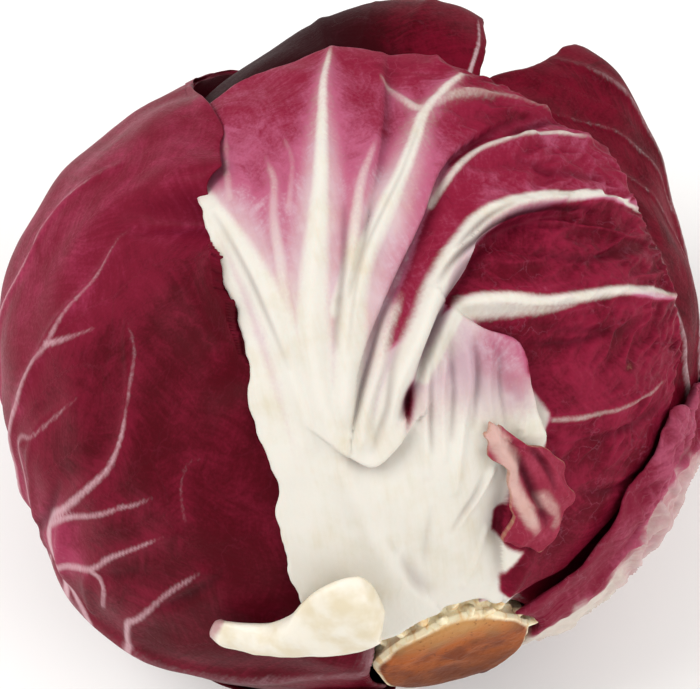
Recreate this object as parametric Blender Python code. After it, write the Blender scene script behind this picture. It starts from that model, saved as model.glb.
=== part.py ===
"""A head of round red radicchio lying on its side.

Metres, +Z up.  The origin is the middle of the small flat spot under the lowest leaf.
The head's axis runs from the cut stem at -Y to the closed tip at +Y.
Every leaf is a sheet of its own, laid over the ones inside it, from the heart outwards.

Leaf angles, in degrees, as seen from the middle of the head:
  s runs from the stem along the leaf's midrib, t runs across it,
  the midrib's own turn about the axis is 0 on top and grows towards +X.
"""
import math

import bmesh
import bpy
import numpy as np
from mathutils import Vector
from mathutils.bvhtree import BVHTree

MM = 0.001
HEAD_CENTRE = np.array((0.0, 0.0, 0.053))
BODY_HALF_SIZE = np.array((60.5, 60.5, 54.5)) * MM
FLOOR_GAP = 0.8 * MM
FLAT_STEP = 0.2 * MM
LEAF_EDGE = 0.8 * MM
LEAF_GAP = 0.75 * MM
TUCK_GAP = 0.6 * MM
LAID_WELL = 0.02 * MM
LAYING_ROUNDS = 7
FAR = 0.2

# broad swells and flats of the whole ball: (angle from stem, turn, height mm, spread)
BODY_SWELLS = (
    (151, -30, -6.2, 28),
    (58, -114, 4.6, 22),
)

STUMP_TILT = (1.5, 0.0, -5.2)
STUMP_END = 59.0
STUMP_RADIUS = 13.4
STUMP_CLEARANCE = 0.5
BASE_RING_RADIUS = 56.5
HEART_FLAT = 43.0
HEART_DEPTH = 10.2
HEART_SWELL = (122, 62, 4.5, 24)
FOLD_ROUNDING = 1.9


# ---------------------------------------------------------------- angles and curves

def unit(v):
    return v / np.linalg.norm(v, axis=-1, keepdims=True)


def leaf_direction(s, t, midrib):
    """Direction from the middle of the head at leaf angles s and t."""
    s, t, m = np.radians(s), np.radians(t), math.radians(midrib)
    stem = np.array((0.0, -1.0, 0.0))
    out = np.array((math.sin(m), 0.0, math.cos(m)))
    side = np.array((math.cos(m), 0.0, -math.sin(m)))
    along = np.cos(s)[..., None] * stem + np.sin(s)[..., None] * out
    return np.cos(t)[..., None] * along + np.sin(t)[..., None] * side


def leaf_angles(direction, midrib):
    """The reverse of leaf_direction."""
    m = math.radians(midrib)
    out = np.array((math.sin(m), 0.0, math.cos(m)))
    side = np.array((math.cos(m), 0.0, -math.sin(m)))
    t = np.degrees(np.arcsin(np.clip(direction @ side, -1, 1)))
    s = np.degrees(np.arctan2(direction @ out, -direction[..., 1]))
    return s, t


def head_direction(theta, turn):
    """Direction at an angle from the stem and a turn about the axis."""
    return leaf_direction(np.array(float(theta)), np.array(0.0), turn)


def bump(direction, theta, turn, spread):
    """1 at a spot of the head, fading over the spread."""
    cosine = np.clip(direction @ head_direction(theta, turn), -1, 1)
    angle = np.degrees(np.arccos(cosine))
    return np.exp(-(angle / spread) ** 2)


def body_radius(direction):
    """Distance from the middle to the outer skin of the whole ball."""
    radius = 1 / np.linalg.norm(direction / BODY_HALF_SIZE, axis=-1)
    for theta, turn, height, spread in BODY_SWELLS:
        radius = radius + height * MM * bump(direction, theta, turn, spread)
    return radius


def curve(points, x):
    """Smooth curve through a few (x, y) points."""
    px = np.array([p[0] for p in points], float)
    py = np.array([p[1] for p in points], float)
    slope = np.gradient(py, px) if len(px) > 2 else np.full(2, (py[1] - py[0]) / (px[1] - px[0]))
    x = np.clip(x, px[0], px[-1])
    i = np.clip(np.searchsorted(px, x) - 1, 0, len(px) - 2)
    h = px[i + 1] - px[i]
    k = (x - px[i]) / h
    a = py[i] * (1 + 2 * k) * (1 - k) ** 2 + py[i + 1] * k * k * (3 - 2 * k)
    b = slope[i] * h * k * (1 - k) ** 2 + slope[i + 1] * h * k * k * (k - 1)
    return a + b


def smooth_line(points, steps=5):
    """A few hand-set points joined by a rounded line."""
    p = np.array(points, float)
    p = np.vstack((2 * p[0] - p[1], p, 2 * p[-1] - p[-2]))
    line = []
    for i in range(1, len(p) - 2):
        for k in np.linspace(0, 1, steps, endpoint=False):
            a = 2 * p[i] + (p[i + 1] - p[i - 1]) * k
            b = (2 * p[i - 1] - 5 * p[i] + 4 * p[i + 1] - p[i + 2]) * k * k
            c = (3 * p[i] - p[i - 1] - 3 * p[i + 1] + p[i + 2]) * k ** 3
            line.append((a + b + c) / 2)
    line.append(p[-2])
    return np.array(line)


def line_distance(s, t, points):
    """Distance in degrees to a rounded line, how far along it, and the side (+1 left)."""
    line = smooth_line(points)
    best = np.full(s.shape, 1e9)
    along = np.zeros(s.shape)
    side = np.ones(s.shape)
    squeeze = np.cos(np.radians(t))
    lengths = np.linalg.norm(np.diff(line, axis=0), axis=1)
    total = lengths.sum()
    before = 0.0
    for (s0, t0), (s1, t1), length in zip(line[:-1], line[1:], lengths):
        ds, dt = (s1 - s0) * squeeze, t1 - t0
        qs, qt = (s - s0) * squeeze, t - t0
        k = np.clip((qs * ds + qt * dt) / (ds * ds + dt * dt + 1e-9), 0, 1)
        distance = np.hypot(qs - k * ds, qt - k * dt)
        nearer = distance < best
        best = np.where(nearer, distance, best)
        along = np.where(nearer, (before + k * length) / total, along)
        side = np.where(nearer, np.where(ds * qt - dt * qs > 0, 1.0, -1.0), side)
        before += length
    return best, along, side


def rib(s, t, points, height, width, end_height, end_width):
    """A rounded ridge along a line, in metres, thinning towards its end."""
    distance, along, _ = line_distance(s, t, points)
    w = width + (end_width - width) * along
    h = height + (end_height - height) * along
    return h * MM * np.exp(-(distance / w) ** 2)


def fold_step(s, t, points, high, low, reach, high_side):
    """A crease: the sheet stands high on one side of the line and low on the other."""
    distance, along, side = line_distance(s, t, points)
    fade = np.sin(np.pi * np.clip(along, 0.04, 0.96)) ** 0.5
    near = np.exp(-(distance / reach) ** 1.5) * fade
    turn_over = 0.5 + 0.5 * np.tanh(side * high_side * distance / FOLD_ROUNDING)
    return (turn_over * (high + low) - low) * near * MM


def crumple(s, t, height, pitch, phase):
    """Soft puckers of the lamina between the veins, wavering so that no two are alike."""
    along = np.radians(360 * s / pitch)
    across = np.radians(360 * t / pitch)
    rows = np.sin(along + 0.7 * phase + 1.3 * np.sin(0.56 * across))
    columns = np.sin(1.25 * across + 1.22 * phase + 1.1 * np.sin(0.72 * along))
    return height * MM * rows * columns


# ---------------------------------------------------------------- meshes

def remove_everything():
    for item in list(bpy.data.objects):
        bpy.data.objects.remove(item, do_unlink=True)


def linear(channel):
    return channel / 12.92 if channel <= 0.04045 else ((channel + 0.055) / 1.055) ** 2.4


def material(name, hex_colour, roughness):
    made = bpy.data.materials.new(name)
    made.use_nodes = True
    shader = made.node_tree.nodes["Principled BSDF"]
    rgb = [linear(int(hex_colour[i:i + 2], 16) / 255) for i in (0, 2, 4)]
    shader.inputs["Base Color"].default_value = (*rgb, 1.0)
    shader.inputs["Roughness"].default_value = roughness
    shader.inputs["Metallic"].default_value = 0.0
    made.diffuse_color = (*rgb, 1.0)
    return made


def solid(name, points, faces, made_of, crisp=50):
    """One closed, smooth-shaded object, its faces turned outwards."""
    mesh = bpy.data.meshes.new(name)
    mesh.from_pydata([tuple(p) for p in points], [], faces)
    shaped = bmesh.new()
    shaped.from_mesh(mesh)
    if shaped.calc_volume(signed=True) < 0:
        bmesh.ops.reverse_faces(shaped, faces=shaped.faces)
    shaped.to_mesh(mesh)
    shaped.free()
    for polygon in mesh.polygons:
        polygon.use_smooth = True
    mesh.set_sharp_from_angle(angle=math.radians(crisp))
    mesh.materials.append(made_of)
    made = bpy.data.objects.new(name, mesh)
    bpy.context.collection.objects.link(made)
    return made


def grid_triangles(rows, columns, start=0):
    """Two triangles a cell, every cell cut along the same diagonal."""
    faces = []
    for j in range(rows):
        for i in range(columns):
            a = start + j * (columns + 1) + i
            b, c, d = a + 1, a + columns + 2, a + columns + 1
            faces += [(a, b, c), (a, c, d)]
    return faces


def rim_loop(rows, columns):
    """Vertex numbers round the border of a grid."""
    wide = columns + 1
    loop = list(range(columns))
    loop += [columns + wide * j for j in range(rows)]
    loop += [rows * wide + i for i in range(columns, 0, -1)]
    loop += [wide * j for j in range(rows, 0, -1)]
    return loop


def tube_faces(rings, sides):
    """Triangles round a stack of rings, and fans to the two end points that follow them."""
    faces = []
    for ring in range(rings - 1):
        for i in range(sides):
            a, b = ring * sides + i, ring * sides + (i + 1) % sides
            faces += [(a, b, b + sides), (a, b + sides, a + sides)]
    last = (rings - 1) * sides
    for i in range(sides):
        j = (i + 1) % sides
        faces.append((j, i, rings * sides))
        faces.append((last + i, last + j, rings * sides + 1))
    return faces


def sheet_solid(name, outer, inner, made_of):
    """A leaf: outer face, inner face with the same diagonals, and the edge between."""
    rows, columns = outer.shape[0] - 1, outer.shape[1] - 1
    points = np.vstack((outer.reshape(-1, 3), inner.reshape(-1, 3)))
    half = (rows + 1) * (columns + 1)
    faces = grid_triangles(rows, columns)
    faces += [(a + half, c + half, b + half) for a, b, c in faces]
    loop = rim_loop(rows, columns)
    for a, b in zip(loop, loop[1:] + loop[:1]):
        faces += [(b, a, a + half), (b, a + half, b + half)]
    return solid(name, points, faces, made_of)


def tree_of(made):
    """Search tree of one finished object."""
    mesh = made.data
    points = [v.co.copy() for v in mesh.vertices]
    return BVHTree.FromPolygons(points, [tuple(p.vertices) for p in mesh.polygons])


def sample_points(made):
    """Corners, edge middles and face middles of a finished object, from the centre."""
    mesh = made.data
    points = np.array([tuple(v.co) for v in mesh.vertices]) - HEAD_CENTRE
    edges = np.array([tuple(e.vertices) for e in mesh.edges])
    faces = np.array([tuple(p.vertices)[:3] for p in mesh.polygons])
    return np.vstack((points, points[edges].mean(axis=1), points[faces].mean(axis=1)))


def hit_radius(tree, direction, outwards):
    """Radius where a ray along the direction meets a piece; None where it misses."""
    ray = Vector(direction)
    if outwards:
        place, _, face, _ = tree.ray_cast(Vector(HEAD_CENTRE), ray, FAR)
    else:
        place, _, face, _ = tree.ray_cast(Vector(HEAD_CENTRE) + ray * FAR, -ray, FAR)
    if place is None:
        return None, None
    return (place - Vector(HEAD_CENTRE)).length, face


# ---------------------------------------------------------------- leaves

def base_start(t, midrib, wanted):
    """Where a leaf may start along s so that it clears the stump."""
    s = np.array(wanted, float)
    axis = unit(np.array((STUMP_TILT[0], -STUMP_END, STUMP_TILT[2])))
    need = STUMP_RADIUS + STUMP_CLEARANCE
    for _ in range(120):
        place = leaf_direction(s, t, midrib) * BASE_RING_RADIUS
        off = np.linalg.norm(np.cross(place, axis), axis=-1)
        s = np.where(off < need, s + 0.25, s)
    return s


def leaf_layout(leaf):
    """Leaf angles s and t of every grid corner, with its waved margins."""
    u = np.linspace(0, 1, leaf["across"] + 1)
    v = np.linspace(0, 1, leaf["along"] + 1)
    left = curve(leaf["left"], v)
    right = curve(leaf["right"], v)
    for amplitude, waves, phase in leaf.get("ragged", ()):
        left = left + amplitude * np.sin(2 * np.pi * (waves * v + phase))
        right = right + amplitude * np.sin(2 * np.pi * (waves * 0.9 * v + phase + 0.3))
    t = left[:, None] + (right - left)[:, None] * u[None, :]
    tip = curve(leaf["tip"], u)
    for amplitude, waves, phase in leaf.get("ragged_tip", ()):
        tip = tip + amplitude * np.sin(2 * np.pi * (waves * u + phase))
    base = base_start(t[0], leaf["midrib"], curve(leaf["base"], u))
    spacing = v ** leaf.get("crowding", 1.0)
    s = base[None, :] + spacing[:, None] * (tip - base)[None, :]
    return s, t


def leaf_sheet(leaf):
    """Directions, inner radii and thickness of a leaf before it is laid down."""
    s, t = leaf_layout(leaf)
    direction = leaf_direction(s, t, leaf["midrib"])
    fat, reach, breadth = leaf["base_thickness"]
    shape = np.exp(-((s - s.min()) / reach) ** 2 - (t / breadth) ** 2)
    thickness = LEAF_EDGE + (fat * MM - LEAF_EDGE) * shape
    raised = np.zeros(s.shape)
    for points, height, width, end_height, end_width in leaf["ribs"]:
        raised = np.maximum(raised, rib(s, t, points, height, width, end_height, end_width))
    folds = np.zeros(s.shape)
    for points, high, low, reach, high_side in leaf.get("creases", ()):
        folds = folds + fold_step(s, t, points, high, low, reach, high_side)
    height, pitch, phase = leaf["puckers"]
    folds = folds + crumple(s, t, height, pitch, phase)
    lift = -leaf["depth"] * MM
    for theta, turn, rise, spread in leaf.get("lifts", ()):
        lift = lift + rise * MM * bump(direction, theta, turn, spread)
    outer = body_radius(direction) + lift + folds
    return direction, outer - thickness, thickness + raised


def sheet_samples(radii, direction):
    """Corners, edge middles and face middles of one face of a sheet, with its search tree."""
    rows, columns = radii.shape[0] - 1, radii.shape[1] - 1
    faces = grid_triangles(rows, columns)
    points = direction.reshape(-1, 3) * radii.reshape(-1, 1)
    corners = [(i,) for i in range(len(points))]
    pairs = {tuple(sorted(pair)) for a, b, c in faces for pair in ((a, b), (b, c), (c, a))}
    tree = BVHTree.FromPolygons([Vector(p + HEAD_CENTRE) for p in points], faces)
    return points, faces, corners + sorted(pairs) + faces, tree


def raise_for(radii, direction, below):
    """One round of lifting a sheet off the pieces below it."""
    points, faces, groups, own = sheet_samples(radii, direction)
    rise = np.zeros(len(points))
    for group in groups:
        place = points[list(group)].mean(axis=0)
        radius = float(np.linalg.norm(place))
        ray = place / radius
        for tree, _, gap, zone in below:
            if zone is not None and not zone(ray):
                continue
            floor, _ = hit_radius(tree, ray, False)
            if floor is not None and floor + gap > radius:
                for i in group:
                    rise[i] = max(rise[i], floor + gap - radius)
    for _, samples, gap, zone in below:
        for place in samples:
            radius = float(np.linalg.norm(place))
            ray = place / radius
            if zone is not None and not zone(ray):
                continue
            above, face = hit_radius(own, ray, True)
            if above is not None and radius + gap > above and above > radius - 8 * MM:
                for i in faces[face]:
                    rise[i] = max(rise[i], radius + gap - above)
    return rise.reshape(radii.shape)


def lower_for(radii, direction, under):
    """One round of pressing a sheet's outer face down under the pieces that cover it."""
    points, faces, groups, own = sheet_samples(radii, direction)
    fall = np.zeros(len(points))
    for tree, samples, gap, zone in under:
        for group in groups:
            place = points[list(group)].mean(axis=0)
            radius = float(np.linalg.norm(place))
            ray = place / radius
            if not zone(ray):
                continue
            roof, _ = hit_radius(tree, ray, True)
            if roof is not None and radius + gap > roof:
                for i in group:
                    fall[i] = max(fall[i], radius + gap - roof)
        for place in samples:
            radius = float(np.linalg.norm(place))
            ray = place / radius
            if not zone(ray):
                continue
            below, face = hit_radius(own, ray, False)
            if below is not None and below + gap > radius and below < radius + 8 * MM:
                for i in faces[face]:
                    fall[i] = max(fall[i], below + gap - radius)
    return fall.reshape(radii.shape)


def spread(rise):
    """Soften a lift over the neighbouring corners without lowering it."""
    padded = np.pad(rise, 1, mode="edge")
    around = (padded[:-2, 1:-1] + padded[2:, 1:-1] + padded[1:-1, :-2] + padded[1:-1, 2:]) / 4
    return np.maximum(rise, 0.8 * around)


def floor_cap(direction, clear):
    """Largest radius that keeps a point above the table."""
    down = np.maximum(-direction[..., 2], 1e-6)
    return (HEAD_CENTRE[2] - clear) / down


def lay_leaf(leaf, below, clear=FLOOR_GAP, under=()):
    """Lay a leaf over the pieces below it, tucked under the ones listed, and build it."""
    direction, inner, thick = leaf_sheet(leaf)
    for _ in range(LAYING_ROUNDS):
        fall = lower_for(inner + thick, direction, under)
        inner = inner - spread(fall)
        rise = raise_for(inner, direction, below)
        inner = inner + spread(rise)
        if max(rise.max(), fall.max()) <= LAID_WELL:
            break
    outer = inner + thick
    cap = floor_cap(direction, clear)
    outer = np.where(outer > cap, cap, np.minimum(outer, cap - FLAT_STEP))
    inner = np.minimum(inner, outer - LEAF_EDGE)
    outer_points = HEAD_CENTRE + direction * outer[..., None]
    inner_points = HEAD_CENTRE + direction * inner[..., None]
    made_of = material(leaf["name"] + "_skin", leaf["colour"], leaf["roughness"])
    return sheet_solid(leaf["name"], outer_points, inner_points, made_of)


def under_piece(made, gap=LEAF_GAP, zone=None):
    """What the next leaves need to know about a finished piece."""
    return tree_of(made), sample_points(made), gap, zone


TOP_LEAF = {
    "name": "top_leaf", "midrib": 0, "across": 16, "along": 18, "crowding": 0.8,
    "left": ((0, -12), (0.3, -22), (0.7, -30), (1, -30)),
    "right": ((0, 14), (0.3, 26), (0.7, 31), (0.85, 35), (1, 36)),
    "base": ((0, 8), (0.5, 3), (1, 8)),
    "tip": ((0, 142), (0.3, 151), (0.55, 152), (0.8, 151), (0.93, 150), (1, 146)),
    "base_thickness": (1.8, 40, 14), "depth": 7.4, "puckers": (0.35, 32, 1),
    "lifts": ((136, 52, 8.2, 22), (143, 20, 4.6, 24), (150, -25, 3.4, 24)),
    "ribs": (
        (((20, 0), (60, 1), (100, 3), (146, 8)), 1.0, 3.0, 0.5, 1.6),
        (((100, 3), (120, 16), (146, 27)), 0.7, 1.8, 0.4, 1.4),
    ),
    "ragged_tip": ((0.5, 3, 0.1),),
    "colour": "5c0a1c", "roughness": 0.5,
}

BACK_LEAF = {
    "name": "back_leaf", "midrib": 180, "across": 16, "along": 20,
    "left": ((0, -12), (0.2, -34), (0.5, -58), (0.85, -54), (1, -30)),
    "right": ((0, 12), (0.2, 34), (0.5, 58), (0.85, 54), (1, 30)),
    "base": ((0, 8), (0.5, 3), (1, 8)),
    "tip": ((0, 184), (0.25, 198), (0.5, 206), (0.75, 200), (1, 186)),
    "base_thickness": (2.4, 40, 14), "depth": 7.6, "puckers": (0.35, 34, 2),
    "ribs": (
        (((22, 0), (80, 2), (130, -2), (188, 2)), 1.4, 3.4, 0.4, 1.6),
        (((60, 2), (90, 18), (130, 40)), 0.7, 2.0, 0.4, 1.6),
        (((50, 1), (85, -20), (120, -42)), 0.7, 2.0, 0.4, 1.6),
    ),
    "ragged": ((0.8, 4, 0.2),), "ragged_tip": ((1.0, 3, 0.4),),
    "colour": "5a1423", "roughness": 0.5,
}

RIGHT_LEAF = {
    "name": "right_leaf", "midrib": 98, "across": 20, "along": 22,
    "left": ((0, -14), (0.2, -48), (0.45, -62), (0.75, -66), (0.92, -62), (1, -56)),
    "right": ((0, 12), (0.3, 44), (0.6, 56), (0.85, 50), (1, 30)),
    "base": ((0, 6), (0.5, 3), (1, 6)),
    "tip": ((0, 132), (0.2, 127), (0.4, 126), (0.6, 131), (0.8, 147), (1, 157)),
    "base_thickness": (3.0, 36, 12), "depth": 3.0, "puckers": (0.5, 30, 3),
    "lifts": ((120, 74, 10.2, 19), (86, 80, 2.0, 24), (52, 96, 2.0, 26)),
    "ribs": (
        (((20, 0), (60, -6), (95, -18), (124, -36)), 1.4, 3.2, 0.5, 1.5),
        (((52, -5), (70, -28), (92, -46)), 0.8, 1.8, 0.5, 1.3),
        (((60, -6), (90, 12), (130, 30)), 0.8, 2.0, 0.4, 1.4),
        (((40, -3), (60, 20), (90, 42)), 0.8, 2.0, 0.4, 1.4),
    ),
    "ragged": ((0.7, 5, 0.3),), "ragged_tip": ((0.8, 4, 0.1),),
    "colour": "581320", "roughness": 0.5,
}

FRONT_LEAF = {
    "name": "front_leaf", "midrib": 0, "across": 34, "along": 38,
    "left": ((0, -17), (0.04, -23), (0.3, -24.5), (0.74, -25), (0.81, -25), (0.87, -28), (1, -28)),
    "right": ((0, 20), (0.06, 33), (0.15, 45), (0.25, 54), (0.42, 59), (0.75, 57), (1, 54)),
    "base": ((0, 6), (0.38, 8), (0.46, 11), (0.55, 12.5), (0.75, 11.5), (1, 10)),
    "tip": ((0, 125), (0.2, 126), (0.35, 126.5), (0.55, 122), (0.7, 115), (0.85, 106), (1, 101)),
    "base_thickness": (3.8, 30, 15), "depth": 0.0, "puckers": (0.35, 22, 4),
    "lifts": ((30, 5, -0.8, 18), (100, 70, -1.6, 22), (116, -27, -1.6, 13)),
    "ribs": (
        (((48, -16), (61, -18), (72, -19), (84, -21), (94, -23)), 0.9, 1.8, 0.4, 1.4),
        (((18, -7), (40, -12), (56, -14), (68, -13), (85, -7), (97, -3), (125, 6)), 1.6, 3.2, 0.7, 1.4),
        (((80, -15), (88, -14), (95, -12), (101, -12)), 0.6, 1.5, 0.3, 1.3),
        (((69, -8), (76, -4), (83, -1), (90, 2), (98, 7)), 1.2, 1.8, 0.4, 1.3),
        (((46, -13), (53, -11), (68, -6), (82, 3), (96, 13), (103, 17), (112, 26)), 2.2, 2.6, 0.8, 1.8),
        (((45, -10), (51, -8), (58, -4), (64, -1), (69, 3)), 2.0, 1.8, 0.6, 1.3),
        (((44, -6), (53, -3), (61, 3), (68, 8), (75, 15), (80, 27), (82, 43), (80, 56)), 2.8, 2.0, 0.8, 1.6),
        (((86, 15), (93, 23), (98, 37), (100, 48)), 1.5, 1.8, 0.8, 1.5),
        (((46, 2), (53, 3), (61, 8), (65, 13), (62, 26), (60, 42), (53, 58)), 1.6, 1.8, 0.8, 1.4),
        (((24, 14), (40, 12), (52, 8)), 0.8, 2.0, 0.4, 1.6),
    ),
    "creases": (
        (((50, -10), (59, -7), (69, 0), (81, 10), (92, 18), (102, 33), (106, 42)), 0.6, 2.6, 4.0, -1),
        (((50, -1), (62, 6), (71, 15), (76, 19), (79, 30), (79, 42)), 0.8, 3.0, 4.0, -1),
        (((65, 11), (60, 15), (56, 20), (47, 20), (36, 21)), 1.2, 2.6, 4.5, 1),
        (((40, 16), (32, 13), (25, 11), (14, 9)), 0.8, 1.8, 4.5, -1),
        (((48, -14), (45, -11), (43, -8), (45, -4), (48, 0)), 1.8, 1.6, 3.0, -1),
        (((85, 2), (96, 7), (107, 11), (122, 15)), 0.3, 1.4, 4.0, -1),
        (((27, -7), (21, -5), (15, -2)), 0.5, 1.0, 3.0, 1),
    ),
    "ragged": ((0.5, 11, 0.0), (0.4, 17, 0.3)), "ragged_tip": ((0.7, 5, 0.2),),
    "colour": "a8505f", "roughness": 0.45,
}

LEFT_LEAF = {
    "name": "left_leaf", "midrib": -90, "across": 24, "along": 28,
    "left": ((0, -14), (0.12, -34), (0.3, -52), (0.5, -60), (0.8, -56), (1, -36)),
    "right": ((0, 9), (0.04, 22), (0.072, 38), (0.1, 47), (0.18, 61), (0.26, 66), (0.38, 69.5),
              (0.487, 70), (0.556, 68), (0.6, 61.4), (0.64, 61.8), (0.70, 66), (0.75, 66.5),
              (0.80, 65), (0.86, 61), (0.91, 54), (0.95, 43), (1, 24)),
    "base": ((0, 6), (0.5, 3), (1, 6)),
    "tip": ((0, 158), (0.3, 172), (0.6, 178), (1, 168)),
    "base_thickness": (3.0, 34, 9), "depth": 0.0, "puckers": (0.45, 32, 5),
    "lifts": ((60, -112, 0.8, 20), (95, -85, 0.6, 30)),
    "ribs": (
        (((17, -5), (59, -13), (100, -14), (149, -3)), 1.6, 3.2, 0.5, 1.5),
        (((96, -14), (105, 11), (109, 23), (119, 33), (124, 44)), 1.0, 1.8, 0.3, 1.3),
        (((80, -14), (86, 7), (89, 26), (96, 44), (105, 52)), 1.0, 1.8, 0.3, 1.3),
        (((72, -14), (80, 15), (76, 30)), 0.7, 1.6, 0.3, 1.2),
        (((66, -13), (68, 11), (63, 27), (67, 38), (80, 46)), 1.0, 1.8, 0.3, 1.3),
        (((60, -13), (60, 4), (52, 17), (47, 23)), 0.9, 1.8, 0.3, 1.3),
        (((52, -12), (50, 1), (41, 18)), 0.9, 1.8, 0.3, 1.3),
        (((66, -14), (86, -30), (113, -48)), 0.8, 1.8, 0.3, 1.3),
    ),
    "ragged": (), "ragged_tip": ((0.8, 5, 0.3),),
    "colour": "5e1624", "roughness": 0.42,
}

LOWER_RIGHT_LEAF = {
    "name": "lower_right_leaf", "midrib": 125, "across": 12, "along": 18,
    "left": ((0, -12), (0.08, -22), (0.22, -38), (0.36, -42), (0.6, -35), (0.85, -26), (1, -12)),
    "right": ((0, 10), (0.2, 24), (0.5, 32), (0.85, 26), (1, 12)),
    "base": ((0, 6), (0.5, 3), (1, 6)),
    "tip": ((0, 96), (0.4, 104), (0.6, 104), (1, 97)),
    "base_thickness": (2.4, 30, 12), "depth": 1.6, "puckers": (0.5, 24, 6),
    "lifts": ((54, 107, 0.8, 13), (64, 118, -1.2, 14)),
    "ribs": (
        (((18, 0), (50, -2), (96, 0)), 1.4, 3.2, 0.4, 1.6),
        (((36, -1), (48, -16), (60, -30)), 0.8, 1.8, 0.4, 1.3),
        (((40, -1), (58, 14), (76, 24)), 0.8, 1.8, 0.4, 1.3),
    ),
    "ragged": ((1.0, 5, 0.15), (0.5, 9, 0.4)), "ragged_tip": ((1.0, 3, 0.2),),
    "colour": "8a4250", "roughness": 0.45,
}

BOTTOM_LEAF = {
    "name": "bottom_leaf", "midrib": 186, "across": 16, "along": 20,
    "left": ((0, -12), (0.2, -28), (0.5, -40), (0.85, -36), (1, -20)),
    "right": ((0, 12), (0.2, 30), (0.5, 42), (0.85, 36), (1, 20)),
    "base": ((0, 6), (0.5, 3), (1, 6)),
    "tip": ((0, 148), (0.3, 160), (0.6, 160), (1, 146)),
    "base_thickness": (3.2, 34, 12), "depth": 0.0, "puckers": (0.4, 33, 7),
    "ribs": (
        (((24, 0), (60, 0)), 1.4, 3.2, 0.9, 2.4),
        (((112, 0), (158, -2)), 0.8, 2.2, 0.4, 1.6),
        (((50, 4), (70, 22), (100, 36)), 0.8, 1.8, 0.4, 1.3),
        (((50, -4), (72, -22), (104, -34)), 0.8, 1.8, 0.4, 1.3),
    ),
    "ragged": ((0.9, 6, 0.25),), "ragged_tip": ((0.9, 5, 0.0),),
    "colour": "541521", "roughness": 0.48,
}

TORN_SCRAP = {
    "name": "torn_scrap", "midrib": 0, "across": 12, "along": 14,
    "left": ((0, 14), (0.2, 10), (0.35, 11), (0.5, 12.5), (0.8, 11), (1, 9.5)),
    "right": ((0, 17), (0.2, 21), (0.4, 23), (0.55, 22.5), (0.75, 19), (1, 12)),
    "base": ((0, 21), (0.5, 19.5), (1, 20)),
    "tip": ((0, 43), (0.5, 45), (1, 44)),
    "base_thickness": (0.9, 20, 20), "depth": -1.0, "puckers": (0.6, 11, 8),
    "lifts": ((32, 43, 1.2, 5), (30, 24, 1.4, 4), (40, 24, 0.8, 5)),
    "ribs": ((((44, 11), (38, 13), (33, 13), (25, 15)), 0.7, 1.2, 0.3, 1.0),),
    "ragged": ((0.5, 3, 0.2), (0.3, 5, 0.6)), "ragged_tip": ((0.5, 2, 0.1),),
    "colour": "b87882", "roughness": 0.5,
}


# ---------------------------------------------------------------- stem, heart, stub

def stump_axis(y):
    """Middle of the stump at a distance y mm from the head's middle."""
    share = y / STUMP_END
    return HEAD_CENTRE + np.array((STUMP_TILT[0] * share, -y, STUMP_TILT[2] * share)) * MM


# the stump from its buried end to its cut face: (distance mm, radius mm, raggedness)
STUMP_RINGS = (
    (44.0, 9.0, 0.0), (45.2, 10.4, 0.0), (51.0, 12.2, 0.3), (54.5, 12.9, 0.4), (56.0, 12.7, 0.6),
    (57.6, 13.5, 0.8), (58.8, 12.8, 0.6), (59.4, 10.0, 0.4), (59.2, 6.0, 0.3), (59.5, 2.8, 0.2),
)
STUMP_SIDES = 30
STUMP_CROWN = 59.9
FACE_START = 56.0
FACE_SQUASH = 0.94


def build_stem():
    """The trimmed stump: slightly domed cut face, chipped rim, notches of lost leaves."""
    turn = np.linspace(0, 2 * np.pi, STUMP_SIDES, endpoint=False)
    lumps = np.sin(3 * turn + 0.6) * 0.4 + np.abs(np.sin(5.5 * turn)) * 0.9 - 0.6
    dips = 0.45 * np.sin(4 * turn + 1.0)
    points = []
    for y, radius, rough in STUMP_RINGS:
        centre = stump_axis(y)
        squash = FACE_SQUASH if y > FACE_START else 1.0
        for a, lump, dip in zip(turn, lumps, dips):
            r = radius + rough * lump
            off = np.array((r * math.sin(a), rough * dip, squash * r * math.cos(a)))
            points.append(centre + off * MM)
    points += [stump_axis(STUMP_RINGS[0][0]), stump_axis(STUMP_CROWN)]
    faces = tube_faces(len(STUMP_RINGS), STUMP_SIDES)
    return solid("stem", points, faces, material("stump_flesh", "b67a48", 0.6), 40)


HEART_SIZE = (18, 30)
HEART_STEP = 0.9
HEART_PUCKER = 0.3


def build_heart():
    """The packed inner head: a dense ball whose skin steps where its leaves overlap."""
    rings, sides = HEART_SIZE
    theta_swell, turn_swell, height, reach = HEART_SWELL
    points = []
    for angle in np.linspace(0, 180, rings + 1)[1:-1]:
        for a in np.linspace(0, 360, sides, endpoint=False):
            d = head_direction(angle, a)
            wrap = (a / 120 + angle / 130) % 1.0
            step = HEART_STEP * wrap ** 3 - 0.4
            pucker = HEART_PUCKER * math.sin(math.radians(6 * a + 40)) * math.sin(math.radians(3 * angle))
            swell = height * bump(d, theta_swell, turn_swell, reach)
            place = d * (body_radius(d) + (step + pucker + swell - HEART_DEPTH) * MM)
            place[1] = max(place[1], -HEART_FLAT * MM)
            points.append(HEAD_CENTRE + place)
    stem_end = HEAD_CENTRE + np.array((0, -HEART_FLAT * MM, 0))
    tip = head_direction(180, 0)
    points += [stem_end, HEAD_CENTRE + tip * (body_radius(tip) - HEART_DEPTH * MM)]
    return solid("heart", points, tube_faces(rings - 1, sides), material("heart_leaves", "4a1020", 0.55), 60)


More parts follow.
